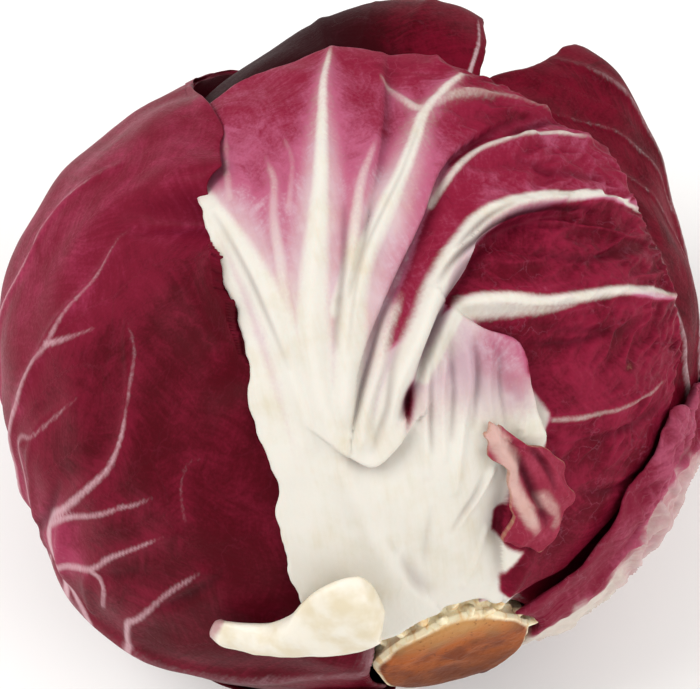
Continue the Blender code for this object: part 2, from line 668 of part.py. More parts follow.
# along the stub from its torn point: (angle from stem, turn, half thickness mm, half width mm)
STUB_PATH = (
    (38.4, -74, 1.2, 2.0), (36, -74, 1.7, 2.9), (32, -71, 2.0, 3.2), (28.7, -66.5, 2.3, 3.8),
    (26.2, -57.5, 2.6, 5.2), (25, -45.5, 3.0, 7.2), (24.8, -34.5, 3.1, 7.4), (24, -26.5, 1.9, 5.2),
)
STUB_SIDES = 12


def resting_radius(d, half_wide, below):
    """Largest radius of the pieces under the stub's width around a direction."""
    side = unit(np.cross(d, (0, 1, 0)))
    ahead = np.cross(side, d)
    resting = 0.0
    for shift in (-1, -0.5, 0, 0.5, 1):
        for pull in (-0.06, 0, 0.06):
            probe = unit(d + side * shift * half_wide / 60 + pull * ahead)
            for tree, _, _, _ in below:
                found, _ = hit_radius(tree, probe, False)
                resting = max(resting, found or 0.0)
    return resting


def build_stub(below):
    """A snapped-off leaf base: thick and lobed beside the stump, thinning to a torn point."""
    middle = [head_direction(theta, turn) for theta, turn, _, _ in STUB_PATH]
    rounds = np.linspace(0, 2 * np.pi, STUB_SIDES, endpoint=False)
    radii = [resting_radius(d, wide, below) + LEAF_GAP + thick * MM
             for d, (_, _, thick, wide) in zip(middle, STUB_PATH)]
    points = []
    for k, (d, radius) in enumerate(zip(middle, radii)):
        ahead = middle[min(k + 1, len(middle) - 1)] - middle[max(k - 1, 0)]
        across = unit(np.cross(d, ahead))
        _, _, half_thick, half_wide = STUB_PATH[k]
        for a in rounds:
            wide = half_wide * math.cos(a) * (1 + 0.08 * math.sin(3 * a + k))
            thick = half_thick * math.sin(a) * (1 + 0.10 * math.sin(2 * a + 0.7 * k))
            points.append(HEAD_CENTRE + d * (radius + thick * MM) + across * wide * MM)
    points += [HEAD_CENTRE + middle[0] * radii[0], HEAD_CENTRE + middle[-1] * radii[-1]]
    faces = tube_faces(len(middle), STUB_SIDES)
    return solid("broken_stub", points, faces, material("stub_flesh", "e5deca", 0.5), 60)


# ---------------------------------------------------------------- the whole head

CROSSING = 100


def along_front(ray):
    s, _ = leaf_angles(ray, 0)
    return s


def build_head():
    stem = under_piece(build_stem())
    heart = under_piece(build_heart())
    layers = [stem, heart]
    for leaf in (BACK_LEAF, TOP_LEAF, RIGHT_LEAF, FRONT_LEAF):
        made = lay_leaf(leaf, layers)
        layers.append(under_piece(made))
    tree, samples, gap, _ = layers.pop()
    beyond = (tree, samples, gap, lambda ray: along_front(ray) >= CROSSING)
    tucked = (tree, samples, TUCK_GAP, lambda ray: along_front(ray) < CROSSING)
    left = lay_leaf(LEFT_LEAF, layers + [beyond], under=(tucked,))
    layers += [(tree, samples, gap, None), under_piece(left)]
    for leaf, clear in ((LOWER_RIGHT_LEAF, FLOOR_GAP), (BOTTOM_LEAF, 0.0)):
        layers.append(under_piece(lay_leaf(leaf, layers, clear)))
    layers.append(under_piece(lay_leaf(TORN_SCRAP, layers)))
    build_stub(layers)


remove_everything()
build_head()
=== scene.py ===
"""A head of round red radicchio lying on its side: fine leaves over the fixed frame.

Metres, +Z up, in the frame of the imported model.  The head's axis runs from the cut stem
at -Y to the tip at +Y, where the outer leaves stand open round the heart.  Every leaf
keeps the place and form of its solid.

Leaf angles, in degrees, as seen from the middle of the head: s runs from the stem along
the leaf's midrib, t runs across it.
"""
import math

import bpy
import numpy as np
from mathutils import Matrix, Vector
from mathutils.bvhtree import BVHTree


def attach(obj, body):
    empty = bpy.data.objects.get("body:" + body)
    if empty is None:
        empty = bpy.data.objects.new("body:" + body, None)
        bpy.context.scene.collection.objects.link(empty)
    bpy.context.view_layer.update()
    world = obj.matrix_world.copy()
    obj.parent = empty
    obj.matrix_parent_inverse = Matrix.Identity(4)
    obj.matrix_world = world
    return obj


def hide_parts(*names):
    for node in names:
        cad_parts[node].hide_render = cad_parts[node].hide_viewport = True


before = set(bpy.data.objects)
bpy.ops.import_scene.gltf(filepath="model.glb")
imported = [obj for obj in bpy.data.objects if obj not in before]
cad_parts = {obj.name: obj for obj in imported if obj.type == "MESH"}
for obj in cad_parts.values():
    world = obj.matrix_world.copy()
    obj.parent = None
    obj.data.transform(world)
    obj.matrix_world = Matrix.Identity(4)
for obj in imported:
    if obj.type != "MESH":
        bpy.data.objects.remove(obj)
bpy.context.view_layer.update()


# ---------------------------------------------------------------- trimmed stump
# The stump is the thick stem, cut across with a knife when the head was trimmed.  Its cut
# face has browned in the air; its cream flank is ragged where outer leaves were pulled off.

MM = 0.001
HEAD_CENTRE = np.array((0.0, 0.0, 0.053))
# mm from the head's middle to the cut face, and how far off the axis the face's middle lies
STUMP_END = 59.0
STUMP_TILT = (1.5, 0.0, -5.2)
# along the stump: (distance from the head's middle, radius, raggedness), mm
STUMP_PROFILE = (
    (44.0, 9.0, 0.0), (45.2, 10.4, 0.0), (51.0, 12.2, 0.6), (54.5, 12.9, 0.9), (56.6, 12.9, 0.9),
    (57.6, 13.5, 0.7), (58.5, 13.2, 0.5), (59.1, 12.2, 0.35), (59.5, 9.8, 0.3), (59.3, 6.0, 0.3),
    (59.5, 2.8, 0.25), (59.8, 0.4, 0.1),
)
# the cut face starts between these steps of the profile, and its rim has sagged
STUMP_FACE_STEPS = 5.0, 8.0
STUMP_SAG, STUMP_SAG_FROM = 0.06, 56
STUMP_SIDES = 144
STUMP_RINGS_PER_STEP = 9
SLIVER_RINGS, SLIVER_SIDES = 9, 14
SLIVER_FOOT_RADIUS = 11.6
# torn slivers left on the flank: (distance, turn, length, width, height, lean), mm and degrees
STUMP_SLIVERS = (
    (55.0, 1, 3.2, 2.6, 3.8, 6), (56.0, -24, 3.0, 3.0, 2.0, -20), (54.6, 24, 3.6, 3.6, 2.2, 15),
    (55.8, 40, 3.0, 3.2, 2.4, 30), (56.5, -42, 2.6, 2.6, 1.8, -40), (54.0, -9, 3.4, 3.4, 1.6, 0),
    (56.8, 12, 2.8, 2.4, 1.6, 20), (56.6, 62, 2.4, 2.6, 1.8, 60), (56.9, 80, 2.6, 2.4, 4.4, 74),
    (55.4, -64, 2.8, 2.6, 1.6, -60), (57.4, 28, 2.2, 2.8, 1.2, 26), (57.2, -10, 2.4, 2.8, 1.2, -8),
)


def linear_rgb(hex_colour):
    """An sRGB hex colour as linear red, green, blue and alpha."""
    rgb = [int(hex_colour[i:i + 2], 16) / 255 for i in (0, 2, 4)]
    return tuple(c / 12.92 if c <= 0.04045 else ((c + 0.055) / 1.055) ** 2.4 for c in rgb) + (1.0,)


def connect(tree, node, inputs):
    """Sets a node's inputs; each takes a value, an sRGB hex colour or another node's output."""
    for key, value in inputs.items():
        if isinstance(value, bpy.types.NodeSocket):
            tree.links.new(value, node.inputs[key])
        else:
            node.inputs[key].default_value = linear_rgb(value) if isinstance(value, str) else value


def add(tree, kind, inputs=None, output=0, **settings):
    """Adds a shader node with its settings and links, and returns one of its outputs."""
    node = tree.nodes.new("ShaderNode" + kind)
    for key, value in settings.items():
        setattr(node, key, value)
    connect(tree, node, inputs or {})
    return node.outputs[output]


def new_material(name):
    """A material with its node tree and its shader."""
    made = bpy.data.materials.new(name)
    made.use_nodes = True
    shader = made.node_tree.nodes["Principled BSDF"]
    shader.inputs["Metallic"].default_value = 0.0
    return made, made.node_tree, shader


def smooth(low, high, x):
    """0 below low, 1 above high, and an even rise between them."""
    k = np.clip((x - low) / (high - low), 0, 1)
    return k * k * (3 - 2 * k)


def triples(x, y, z=0.0):
    """Three coordinates for each corner, from arrays or numbers that fit together."""
    return np.stack(np.broadcast_arrays(x, y, z), -1)


def corner_chance(i, seed):
    """A repeatable number from 0 to 1 at every corner of a lattice."""
    n = np.sin(i[..., 0] * 127.1 + i[..., 1] * 311.7 + i[..., 2] * 74.7 + seed * 53.3) * 43758.5453
    return n - np.floor(n)


def rumple(place, size, seed=0, layers=3):
    """Soft unevenness from -1 to 1: its largest bumps a size apart, finer ones on top."""
    total = np.zeros(place.shape[:-1])
    strength = 1.0
    for layer in range(layers):
        q = place / size * 2 ** layer + 17.3 * layer
        corner = np.floor(q)
        f = q - corner
        f = f * f * f * (f * (f * 6 - 15) + 10)
        value = np.zeros(total.shape)
        for a in (0, 1):
            for b in (0, 1):
                for c in (0, 1):
                    near = corner + np.array((a, b, c))
                    share = np.abs(np.array((1 - a, 1 - b, 1 - c)) - f).prod(axis=-1)
                    value = value + share * corner_chance(near, seed + layer)
        total = total + strength * (2 * value - 1)
        strength *= 0.5
    return total / 1.4


def mesh_piece(name, points, faces, marks, finish, node):
    """One smooth-shaded piece that stands for a solid, with its marks for the material."""
    mesh = bpy.data.meshes.new(name)
    mesh.from_pydata(points.tolist(), [], faces)
    mesh.polygons.foreach_set("use_smooth", np.ones(len(mesh.polygons), bool))
    for mark, values in marks.items():
        kind, field = ("FLOAT", "value") if values.ndim == 1 else ("FLOAT_VECTOR", "vector")
        held = mesh.attributes.new(mark, kind, "POINT")
        held.data.foreach_set(field, np.ascontiguousarray(values, np.float32).ravel())
    mesh.materials.append(finish)
    mesh.update()
    made = bpy.data.objects.new(name, mesh)
    bpy.context.scene.collection.objects.link(made)
    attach(made, "root")
    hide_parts(node)
    return made


def tube_faces(rings, sides):
    """Quads round a stack of rings, and fans to the two end points that follow them."""
    faces = []
    last, ends = (rings - 1) * sides, rings * sides
    for i in range(sides):
        j = (i + 1) % sides
        for ring in range(0, last, sides):
            faces.append((ring + i, ring + j, ring + j + sides, ring + i + sides))
        faces.append((j, i, ends))
        faces.append((last + i, last + j, ends + 1))
    return faces


def closed_by_middles(corners):
    """The corners of a stack of rings in one list, and the middles of its two ends."""
    return np.vstack((corners.reshape(-1, 3), corners[0].mean(axis=0), corners[-1].mean(axis=0)))


def unit(ways):
    """Directions of length 1."""
    return ways / np.linalg.norm(ways, axis=-1, keepdims=True)


def stump_place(y, radius, turn):
    """A point of the stump y mm from the head's middle, its radius and turn off the axis."""
    lean = np.array((STUMP_TILT[0], 0.0, STUMP_TILT[2])) / STUMP_END
    off = triples(radius * np.sin(turn), -y, radius * np.cos(turn))
    return HEAD_CENTRE + (off - off[..., 1:2] * lean) * MM


def stump_body():
    """The stump itself: corners, faces, and how much each corner belongs to the cut face."""
    profile = np.array(STUMP_PROFILE)
    last = len(profile) - 1
    steps = np.linspace(0, last, last * STUMP_RINGS_PER_STEP + 1)
    y, radius, ragged = (np.interp(steps, np.arange(last + 1), column)[:, None] for column in profile.T)
    turn = np.linspace(0, 2 * np.pi, STUMP_SIDES, endpoint=False)[None, :]
    cut = smooth(*STUMP_FACE_STEPS, steps)[:, None] + 0 * turn
    place = triples(radius * np.sin(turn), y, radius * np.cos(turn))
    lumps = np.sin(3 * turn + 0.6) * 0.4 + np.abs(np.sin(5.5 * turn)) * 0.9 - 0.6
    torn = rumple(place, 4.2, 11) + 0.35 * np.abs(rumple(place, 2.0, 12))
    radius = radius + ragged * (0.7 * lumps + (1 - 0.8 * cut) * torn)
    sink = 0.4 * ragged * np.sin(4 * turn + 1.0) + cut * 0.2 * rumple(place, 4.0, 13)
    corners = stump_place(y - sink, radius, turn)
    height = corners[..., 2] - stump_place(y, 0 * radius, turn)[..., 2]
    corners[..., 2] -= np.where(y > STUMP_SAG_FROM, STUMP_SAG, 0.0) * height
    ends = stump_place(np.array((y[0, 0], y[-1, 0])), np.zeros(2), np.zeros(2))
    points = np.vstack((corners.reshape(-1, 3), ends))
    share = np.concatenate((cut.ravel(), (0.0, 1.0)))
    faces = [face[::-1] for face in tube_faces(len(steps), STUMP_SIDES)]
    return points, faces, share


def stump_sliver(y, turn, length, width, height, lean, number):
    """A torn wedge of flesh standing on the flank, blunt at its foot and thin at its tip."""
    up = np.linspace(0, 1, SLIVER_RINGS)[:, None]
    round_it = np.linspace(0, 2 * np.pi, SLIVER_SIDES, endpoint=False)[None, :]
    taper = (1 - up ** 1.4) * 0.92 + 0.08
    a, b = math.radians(turn), math.radians(lean)
    outwards = unit(np.array((math.sin(b), -0.25, math.cos(b))))
    sideways = unit(np.cross((0, -1, 0), outwards))
    along = np.cross(sideways, outwards)
    foot = stump_place(y, SLIVER_FOOT_RADIUS, a)
    shape = (up[..., None] * (height + 1.6) * outwards
             + (np.cos(round_it) * taper * width / 2)[..., None] * sideways
             + (np.sin(round_it) * taper * length / 2)[..., None] * along)
    shape = shape + 0.45 * triples(*(rumple(shape + 9.0 * number, 1.8, 20 + k, 2) for k in range(3)))
    points = closed_by_middles(foot + shape * MM)
    return points, tube_faces(SLIVER_RINGS, SLIVER_SIDES), np.zeros(len(points))


# Cut plant stem: fibrous cream flesh, and a face browned by air in rings and blotches.
FLESH_CREAM = "f6e8c6"
FLESH_TAN = "e6bf88"
CUT_TAN = "c4935a"
CUT_ORANGE = "a2541f"
CUT_BROWN = "733516"
CUT_DARK = "54260f"
# heights over which the face turns tan at its top and dark at its foot
CUT_TAN_FROM, CUT_TAN_TO = 54 * MM, 67 * MM
CUT_DARK_FROM, CUT_DARK_TO = 55 * MM, 40 * MM
CUT_BLOTCH_MM, STRAND_MM, FIBRE_MM = 4.5, 1.4, 0.9
# settings of the nodes that ease from one value to another, and of those that mix two colours
EASED = {"interpolation_type": "SMOOTHSTEP"}
COLOURED = {"data_type": "RGBA", "output": 2}


def stump_finish():
    made, tree, shader = new_material("cut_stem_flesh")
    place = add(tree, "TexCoord", output="Object")
    cut = add(tree, "Attribute", output="Fac", attribute_name="cut_face")
    blotch = add(tree, "TexNoise", {"Vector": place, "Scale": 1 / (CUT_BLOTCH_MM * MM), "Detail": 4.0})
    speck = add(tree, "TexNoise", {"Vector": place, "Scale": 1 / (FIBRE_MM * MM), "Detail": 3.0})
    long = add(tree, "VectorMath", {0: place, 1: (1.0, 0.25, 1.0)}, operation="MULTIPLY")
    strand = add(tree, "TexNoise", {"Vector": long, "Scale": 1 / (STRAND_MM * MM), "Detail": 3.0,
                                    "Distortion": 0.6})

    # cut face: orange and brown blotches, tan at its top, dark at its foot and in its pits
    browned = add(tree, "MapRange", {0: blotch, 1: 0.35, 2: 0.65}, **EASED)
    face = add(tree, "Mix", {0: browned, 6: CUT_ORANGE, 7: CUT_BROWN}, **COLOURED)
    height = add(tree, "SeparateXYZ", {0: place}, "Z")
    high = add(tree, "Math", {0: blotch, 1: 7 * MM, 2: height}, operation="MULTIPLY_ADD")
    high = add(tree, "MapRange", {0: high, 1: CUT_TAN_FROM, 2: CUT_TAN_TO}, **EASED)
    low = add(tree, "Math", {0: blotch, 1: 5 * MM, 2: height}, operation="MULTIPLY_ADD")
    low = add(tree, "MapRange", {0: low, 1: CUT_DARK_TO, 2: CUT_DARK_FROM, 3: 0.75, 4: 0.0}, **EASED)
    pits = add(tree, "MapRange", {0: speck, 1: 0.60, 2: 0.72, 4: 0.55}, **EASED)
    for share, tone in ((high, CUT_TAN), (low, CUT_DARK), (pits, CUT_DARK)):
        face = add(tree, "Mix", {0: share, 6: face, 7: tone}, **COLOURED)

    # flank: cream flesh with tan strands, showing up to a wavering edge
    tan = add(tree, "MapRange", {0: strand, 1: 0.45, 2: 0.75}, **EASED)
    flank = add(tree, "Mix", {0: tan, 6: FLESH_CREAM, 7: FLESH_TAN}, **COLOURED)
    edge = add(tree, "Math", {0: blotch, 1: 0.5, 2: cut}, operation="MULTIPLY_ADD")
    edge = add(tree, "MapRange", {0: edge, 1: 0.45, 2: 0.85}, **EASED)
    skin = add(tree, "Mix", {0: edge, 6: flank, 7: face}, **COLOURED)
    relief = add(tree, "Math", {0: strand, 1: speck}, operation="ADD")
    bump = add(tree, "Bump", {"Height": relief, "Strength": 0.6, "Distance": 0.35 * MM})
    connect(tree, shader, {
        "Base Color": skin, "Normal": bump, "Roughness": 0.62, "Specular IOR Level": 0.15,
        "Subsurface Weight": 0.15, "Subsurface Radius": (1.0, 0.6, 0.35), "Subsurface Scale": 1.2 * MM})
    return made


def build_stump():
    bodies = [stump_body()]
    for number, sliver in enumerate(STUMP_SLIVERS):
        bodies.append(stump_sliver(*sliver, number))
    faces, start = [], 0
    for corners, tiles, _ in bodies:
        faces += [tuple(start + k for k in tile) for tile in tiles]
        start += len(corners)
    points = np.vstack([corners for corners, _, _ in bodies])
    marks = {"cut_face": np.concatenate([share for _, _, share in bodies])}
    return mesh_piece("stem_flesh", points, faces, marks, stump_finish(), "stem")


build_stump()


# ---------------------------------------------------------------- packed heart
# The heart is the dense ball of inner leaves.  It shows in the open tip and in the gaps between
# the outer leaves, as dark red skin with steps where one inner leaf wraps over the next.

HEART_RINGS, HEART_SIDES = 120, 180
# mm: how far the skin lies under the solid, its unevenness, and the step where a leaf ends
HEART_UNDER, HEART_UNEVEN, HEART_STEP = 0.25, 0.25, 0.2
HEART_RADIUS = 53


def tree_of(node):
    """Search tree of one solid of the frame."""
    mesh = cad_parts[node].data
    corners = [v.co.copy() for v in mesh.vertices]
    return BVHTree.FromPolygons(corners, [tuple(p.vertices) for p in mesh.polygons])


def solid_radius(tree, direction, outside=True, reach=0.2):
    """Distance from the head's middle to a solid along each direction; nan where it misses."""
    flat = direction.reshape(-1, 3)
    found = np.full(len(flat), np.nan)
    middle = Vector(HEAD_CENTRE)
    for i, ray in enumerate(flat):
        ray = Vector(ray)
        if outside:
            place = tree.ray_cast(middle + ray * reach, -ray, reach)[0]
        else:
            place = tree.ray_cast(middle, ray, reach)[0]
        if place is not None:
            found[i] = (place - middle).length
    return found.reshape(direction.shape[:-1])


def leaf_direction(s, t, midrib):
    """Direction from the middle of the head at leaf angles s and t."""
    s, t, m = np.radians(s), np.radians(t), math.radians(midrib)
    stem = np.array((0.0, -1.0, 0.0))
    out = np.array((math.sin(m), 0.0, math.cos(m)))
    side = np.array((math.cos(m), 0.0, -math.sin(m)))
    along = np.cos(s)[..., None] * stem + np.sin(s)[..., None] * out
    return np.cos(t)[..., None] * along + np.sin(t)[..., None] * side


def build_heart():
    theta = np.radians(np.linspace(2, 178, HEART_RINGS))[:, None]
    turn = np.linspace(0, 2 * np.pi, HEART_SIDES, endpoint=False)[None, :]
    direction = triples(np.sin(theta) * np.sin(turn), -np.cos(theta), np.sin(theta) * np.cos(turn))
    wrap = (np.degrees(turn) / 120 + np.degrees(theta) / 130) % 1.0
    uneven = HEART_UNEVEN * rumple(direction * HEART_RADIUS, 14, 31)
    radius = solid_radius(tree_of("heart"), direction) + (uneven - HEART_UNDER + HEART_STEP * wrap ** 8) * MM
    corners = HEAD_CENTRE + direction * radius[..., None]
    ends = HEAD_CENTRE + np.array(((0, -radius[0].mean(), 0), (0, radius[-1].mean(), 0)))
    points = np.vstack((corners.reshape(-1, 3), ends))
    faces = tube_faces(HEART_RINGS, HEART_SIDES)
    grain = triples(np.degrees(theta), np.degrees(turn) * np.sin(theta)).reshape(-1, 3)
    grain = np.vstack((grain, np.zeros((2, 3))))
    none = np.zeros(len(points))
    marks = {"grain": grain, "feather": grain, "flesh": none, "wine": none + 0.92, "crease": none,
             "dry": none}
    finish = leaf_skin("inner_leaf_skin", DEEP_LEAF, vein=0.2)
    return mesh_piece("heart_skin", points, faces, marks, finish, "heart")


# Living leaf tissue: a thin, faintly waxy skin over wet cells, so a soft broad sheen, colour
# that deepens with the red sap in it, and white crisp ribs that let a little light through.
DEEP_LEAF = {"pale": "c99bab", "pink": "902346", "wine": "6b0d22", "deep": "3e040c",
             "white": "ddc3c6", "cream": "cdb5b0", "vein": "964a5e"}
# painted shade: the colours laid into creases and slits, one over white flesh and one over red
SHADED_FLESH = "5e3236"
CREASE_SHADE = "200408"
DRY_BROWN = "a07a62"
# sizes of its patterns in mm; single cells are far finer, so these are drawn coarse enough to show
CELL_MM, STREAK_MM, HERRING_MM, BLOTCH_MM = 0.6, 1.1, 1.25, 9.0
VEIN_BEND = (9.0, 9.0, 0.0)


def unevened(tree, value, patterns):
    """A mark made uneven by patterns, each with its share."""
    for pattern, share in patterns:
        uneven = add(tree, "Math", {0: pattern, 1: 0.5}, operation="SUBTRACT")
        value = add(tree, "Math", {0: uneven, 1: share, 2: value}, operation="MULTIPLY_ADD")
    return value


def leaf_skin(name, colours, vein=0.12, vein_mm=6.0, gloss=0.46, glow=0.12, fringe=0.45, shine=0.05):
    """The skin of a leaf: red sap by the mark 'wine', white rib flesh by the mark 'flesh'."""
    made, tree, shader = new_material(name)
    flesh, wine, crease, dry = (add(tree, "Attribute", output="Fac", attribute_name=mark)
                                for mark in ("flesh", "wine", "crease", "dry"))
    grain, feather = (add(tree, "Attribute", output="Vector", attribute_name=mark)
                      for mark in ("grain", "feather"))
    long = add(tree, "VectorMath", {0: grain, 1: (0.12, 1.0, 1.0)}, operation="MULTIPLY")
    streak, herring, blotch = (
        add(tree, "TexNoise", {"Vector": place, "Scale": 1 / size, "Detail": detail, "Roughness": rough})
        for place, size, detail, rough in ((long, STREAK_MM, 3.0, 0.6), (feather, HERRING_MM, 3.0, 0.6),
                                           (grain, BLOTCH_MM, 4.0, 0.62)))
    cells = add(tree, "TexNoise", {"Vector": grain, "Scale": 1 / CELL_MM, "Detail": 2.0})

    # depth of the red sap, with blotches, slanting streaks and single cells
    depth = unevened(tree, wine, ((blotch, 0.55), (herring, 0.30), (streak, 0.12), (cells, 0.20)))
    lamina = colours["pale"]
    for low, high, tone in ((0.0, 0.38, "pink"), (0.34, 0.74, "wine"), (0.70, 1.05, "deep")):
        share = add(tree, "MapRange", {0: depth, 1: low, 2: high}, **EASED)
        lamina = add(tree, "Mix", {0: share, 6: lamina, 7: colours[tone]}, **COLOURED)

    # net of hair-thin veins, showing here and there
    bent = add(tree, "TexNoise", {"Vector": grain, "Scale": 0.28, "Detail": 4.0}, "Color")
    bent = add(tree, "VectorMath", {0: bent, 1: VEIN_BEND, 2: grain}, operation="MULTIPLY_ADD")
    net = add(tree, "TexVoronoi", {"Vector": bent, "Scale": 1 / vein_mm}, feature="DISTANCE_TO_EDGE",
              voronoi_dimensions="2D")
    net = add(tree, "MapRange", {0: net, 1: 0.0, 2: 0.05, 3: vein, 4: 0.0})
    fade = add(tree, "MapRange", {0: blotch, 1: 0.48, 2: 0.62})
    net = add(tree, "Math", {0: net, 1: fade}, operation="MULTIPLY")
    lamina = add(tree, "Mix", {0: net, 6: lamina, 7: colours["vein"]}, **COLOURED)

    # white flesh, feathering out into the red along side veins
    edge = unevened(tree, flesh, ((herring, fringe), (blotch, 0.30), (cells, 0.25)))
    white = add(tree, "MapRange", {0: edge, 1: 0.10, 2: 0.90}, **EASED)
    bone = add(tree, "Math", {0: streak, 1: 0.35, 2: blotch}, operation="MULTIPLY_ADD")
    bone = add(tree, "MapRange", {0: bone, 1: 0.58, 2: 1.10}, **EASED)
    bone = add(tree, "Mix", {0: bone, 6: colours["white"], 7: colours["cream"]}, **COLOURED)
    skin = add(tree, "Mix", {0: white, 6: lamina, 7: bone}, **COLOURED)

    # painted shade in creases and slits and under overhangs, darker over red than over white flesh, and edges
    # dried brown
    shade = add(tree, "Mix", {0: white, 6: CREASE_SHADE, 7: SHADED_FLESH}, **COLOURED)
    skin = add(tree, "Mix", {0: crease, 6: skin, 7: shade}, **COLOURED)
    dried = add(tree, "Math", {0: cells, 1: 0.6, 2: dry}, operation="MULTIPLY_ADD")
    dried = add(tree, "MapRange", {0: dried, 1: 0.55, 2: 1.1}, **EASED)
    skin = add(tree, "Mix", {0: dried, 6: skin, 7: DRY_BROWN}, **COLOURED)

    rough = add(tree, "MapRange", {0: cells, 1: 0.25, 2: 0.75, 3: gloss - 0.05, 4: gloss + 0.10})
    off_rib = add(tree, "MapRange", {0: white, 1: 0.0, 2: 0.7, 3: 1.0, 4: 0.1})
    relief = add(tree, "Math", {0: herring, 1: off_rib}, operation="MULTIPLY")
    for pattern, share in ((streak, 0.3), (cells, 0.5)):
        relief = add(tree, "Math", {0: pattern, 1: share, 2: relief}, operation="MULTIPLY_ADD")
    bump = add(tree, "Bump", {"Height": relief, "Strength": 0.30, "Distance": 0.22 * MM})
    connect(tree, shader, {
        "Base Color": skin, "Normal": bump, "Roughness": rough, "IOR": 1.42, "Specular IOR Level": shine,
        "Subsurface Weight": glow, "Subsurface Radius": (1.0, 0.45, 0.35), "Subsurface Scale": 0.8 * MM})
    return made


build_heart()


# ---------------------------------------------------------------- back leaf
# The leaf that wraps the head's underside, its midrib running from the stem round to the tip.
# It is one thin sheet, thick and white only at its foot, and the other leaves hide most of it.

# A leaf's values.  Angles are leaf angles, u is a share across the blade and v a share along it.
#   midrib              turn of its midrib round the head's axis, 0 on top
#   across, along       cells of its solid; fine: rows and columns of cells of this mesh
#   left, right         its margins, t by v; base, tip: its two ends, s by u
#   crowding            power of v that crowds the rows towards one end
#   puckers             height mm, pitch and phase of the soft swellings between the veins
#   ribs, veins         points (s, t), then height mm and width, at the start and at the end
#   creases             points, height and depth mm, reach, and which side stands high
#   slits               points, then depth mm and width, at the start and at the end, and how dark their painted shade is
#   lips                how far the edges of its first creases roll over, degrees
#   white               points, half width at the start and the end, whiteness at the start and the end
#   ragged, ragged_tip  amplitude, waves and phase of the waves that the solid's margins have
#   even_waves          how much of the waves of "ragged" is kept
#   nibble              amplitudes of the small waves and of the nicks of its free margins
#   tuck, draw          shift of the right and of the left margin, t by v
#   trim, tip_trim      shift of the base and of the tip, s by u
#   lift                mm by v that the right margin stands off
#   crumple             height mm, size mm and seed of its fine unevenness
#   wrinkles            size along and across, slant, where they start and end by t, seed
#   wrinkle_mm          height of those wrinkles
#   white_foot          where the white foot starts and stops fading, s; wine: how deep its red is

BACK_LEAF = {
    "name": "back_leaf", "midrib": 180, "across": 16, "along": 20, "fine": (180, 200),
    "left": ((0, -12), (0.2, -34), (0.5, -58), (0.85, -54), (1, -30)),
    "right": ((0, 12), (0.2, 34), (0.5, 58), (0.85, 54), (1, 30)),
    "base": ((0, 8), (0.5, 3), (1, 8)),
    "tip": ((0, 184), (0.25, 198), (0.5, 206), (0.75, 200), (1, 186)),
    "puckers": (0.35, 34, 2),
    "ribs": (
        (((22, 0), (80, 2), (130, -2), (188, 2)), 1.4, 3.4, 0.4, 1.6),
        (((60, 2), (90, 18), (130, 40)), 0.7, 2.0, 0.4, 1.6),
        (((50, 1), (85, -20), (120, -42)), 0.7, 2.0, 0.4, 1.6),
    ),
    "ragged": ((0.8, 4, 0.2),), "ragged_tip": ((1.0, 3, 0.4),),
    "veins": (
        (((130, -1), (150, 10), (172, 24)), 0.35, 1.0, 0.2, 0.8),
        (((125, -1), (150, -14), (172, -26)), 0.35, 1.0, 0.2, 0.8),
        (((95, 20), (110, 38), (120, 52)), 0.3, 0.9, 0.2, 0.7),
    ),
    "white": (
        (((8, 0), (22, 0), (80, 2), (130, -2), (188, 2)), 6.0, 0.8, 1.0, 0.5),
        (((60, 2), (90, 18), (130, 40)), 1.2, 0.5, 0.7, 0.4),
        (((50, 1), (85, -20), (120, -42)), 1.2, 0.5, 0.7, 0.4),
        (((130, -1), (150, 10), (172, 24)), 0.7, 0.4, 0.5, 0.3),
        (((125, -1), (150, -14), (172, -26)), 0.7, 0.4, 0.5, 0.3),
    ),
    "white_foot": (14, 34), "wine": 0.86, "crumple": (0.30, 11.0, 5),
}
# mm: the stump that a leaf's foot clears, and how far from the head's middle its foot lies
STUMP_RADIUS, STUMP_CLEARANCE = 13.4, 0.5
BASE_RING_RADIUS = 56.5
BASE_STEP, BASE_STEPS = 0.25, 120
# how sharply the sheet steps over a fold line, in degrees, in its solid and here
CAD_FOLD_ROUNDING, FOLD_ROUNDING = 1.9, 0.55
RIB_CRISPNESS = 0.8
BLADE_EDGE, RIM_CELLS = 0.7 * MM, 2
# the gap left under a leaf that lies over this one, and how far up it is looked for
UNDER_GAP, COVER_REACH = 0.12 * MM, 12 * MM
# the solid is probed this far inside its margins, as shares, and its covers from this depth
INSET_ACROSS, INSET_ALONG, UNDER_SHEET = 0.004, 0.003, 0.3 * MM
NIBBLE = (0.35, 0.25)
CRUMPLE_RADIUS = 55
DEGREE_MM = 1.02
FAR = 1e9
UNCHANGED = ((0, 0), (1, 0))


def between(start, end, share):
    """The value a share of the way from start to end."""
    return start + (end - start) * share


def bell(distance, width, power=2):
    """1 on a line, falling to 0 a few widths away from it."""
    return np.exp(-np.minimum(distance / width, 9) ** power)


def arched(share, end, power):
    """1 halfway along a line, falling off towards its two ends."""
    return np.sin(np.pi * np.clip(share, end, 1 - end)) ** power


def stepped(distance, side, high_side, rounding):
    """0 on the low side of a fold line, 1 on its high side, and a rounded step between them."""
    return 0.5 + 0.5 * np.tanh(side * high_side * np.minimum(distance, 90) / rounding)


def curve(points, x):
    """Smooth curve through a few (x, y) points."""
    px, py = np.array(points, float).T
    slope = np.gradient(py, px) if len(px) > 2 else np.full(2, (py[1] - py[0]) / (px[1] - px[0]))
    x = np.clip(x, px[0], px[-1])
    i = np.clip(np.searchsorted(px, x) - 1, 0, len(px) - 2)
    h = px[i + 1] - px[i]
    k = (x - px[i]) / h
    a = py[i] * (1 + 2 * k) * (1 - k) ** 2 + py[i + 1] * k * k * (3 - 2 * k)
    return a + slope[i] * h * k * (1 - k) ** 2 + slope[i + 1] * h * k * k * (k - 1)


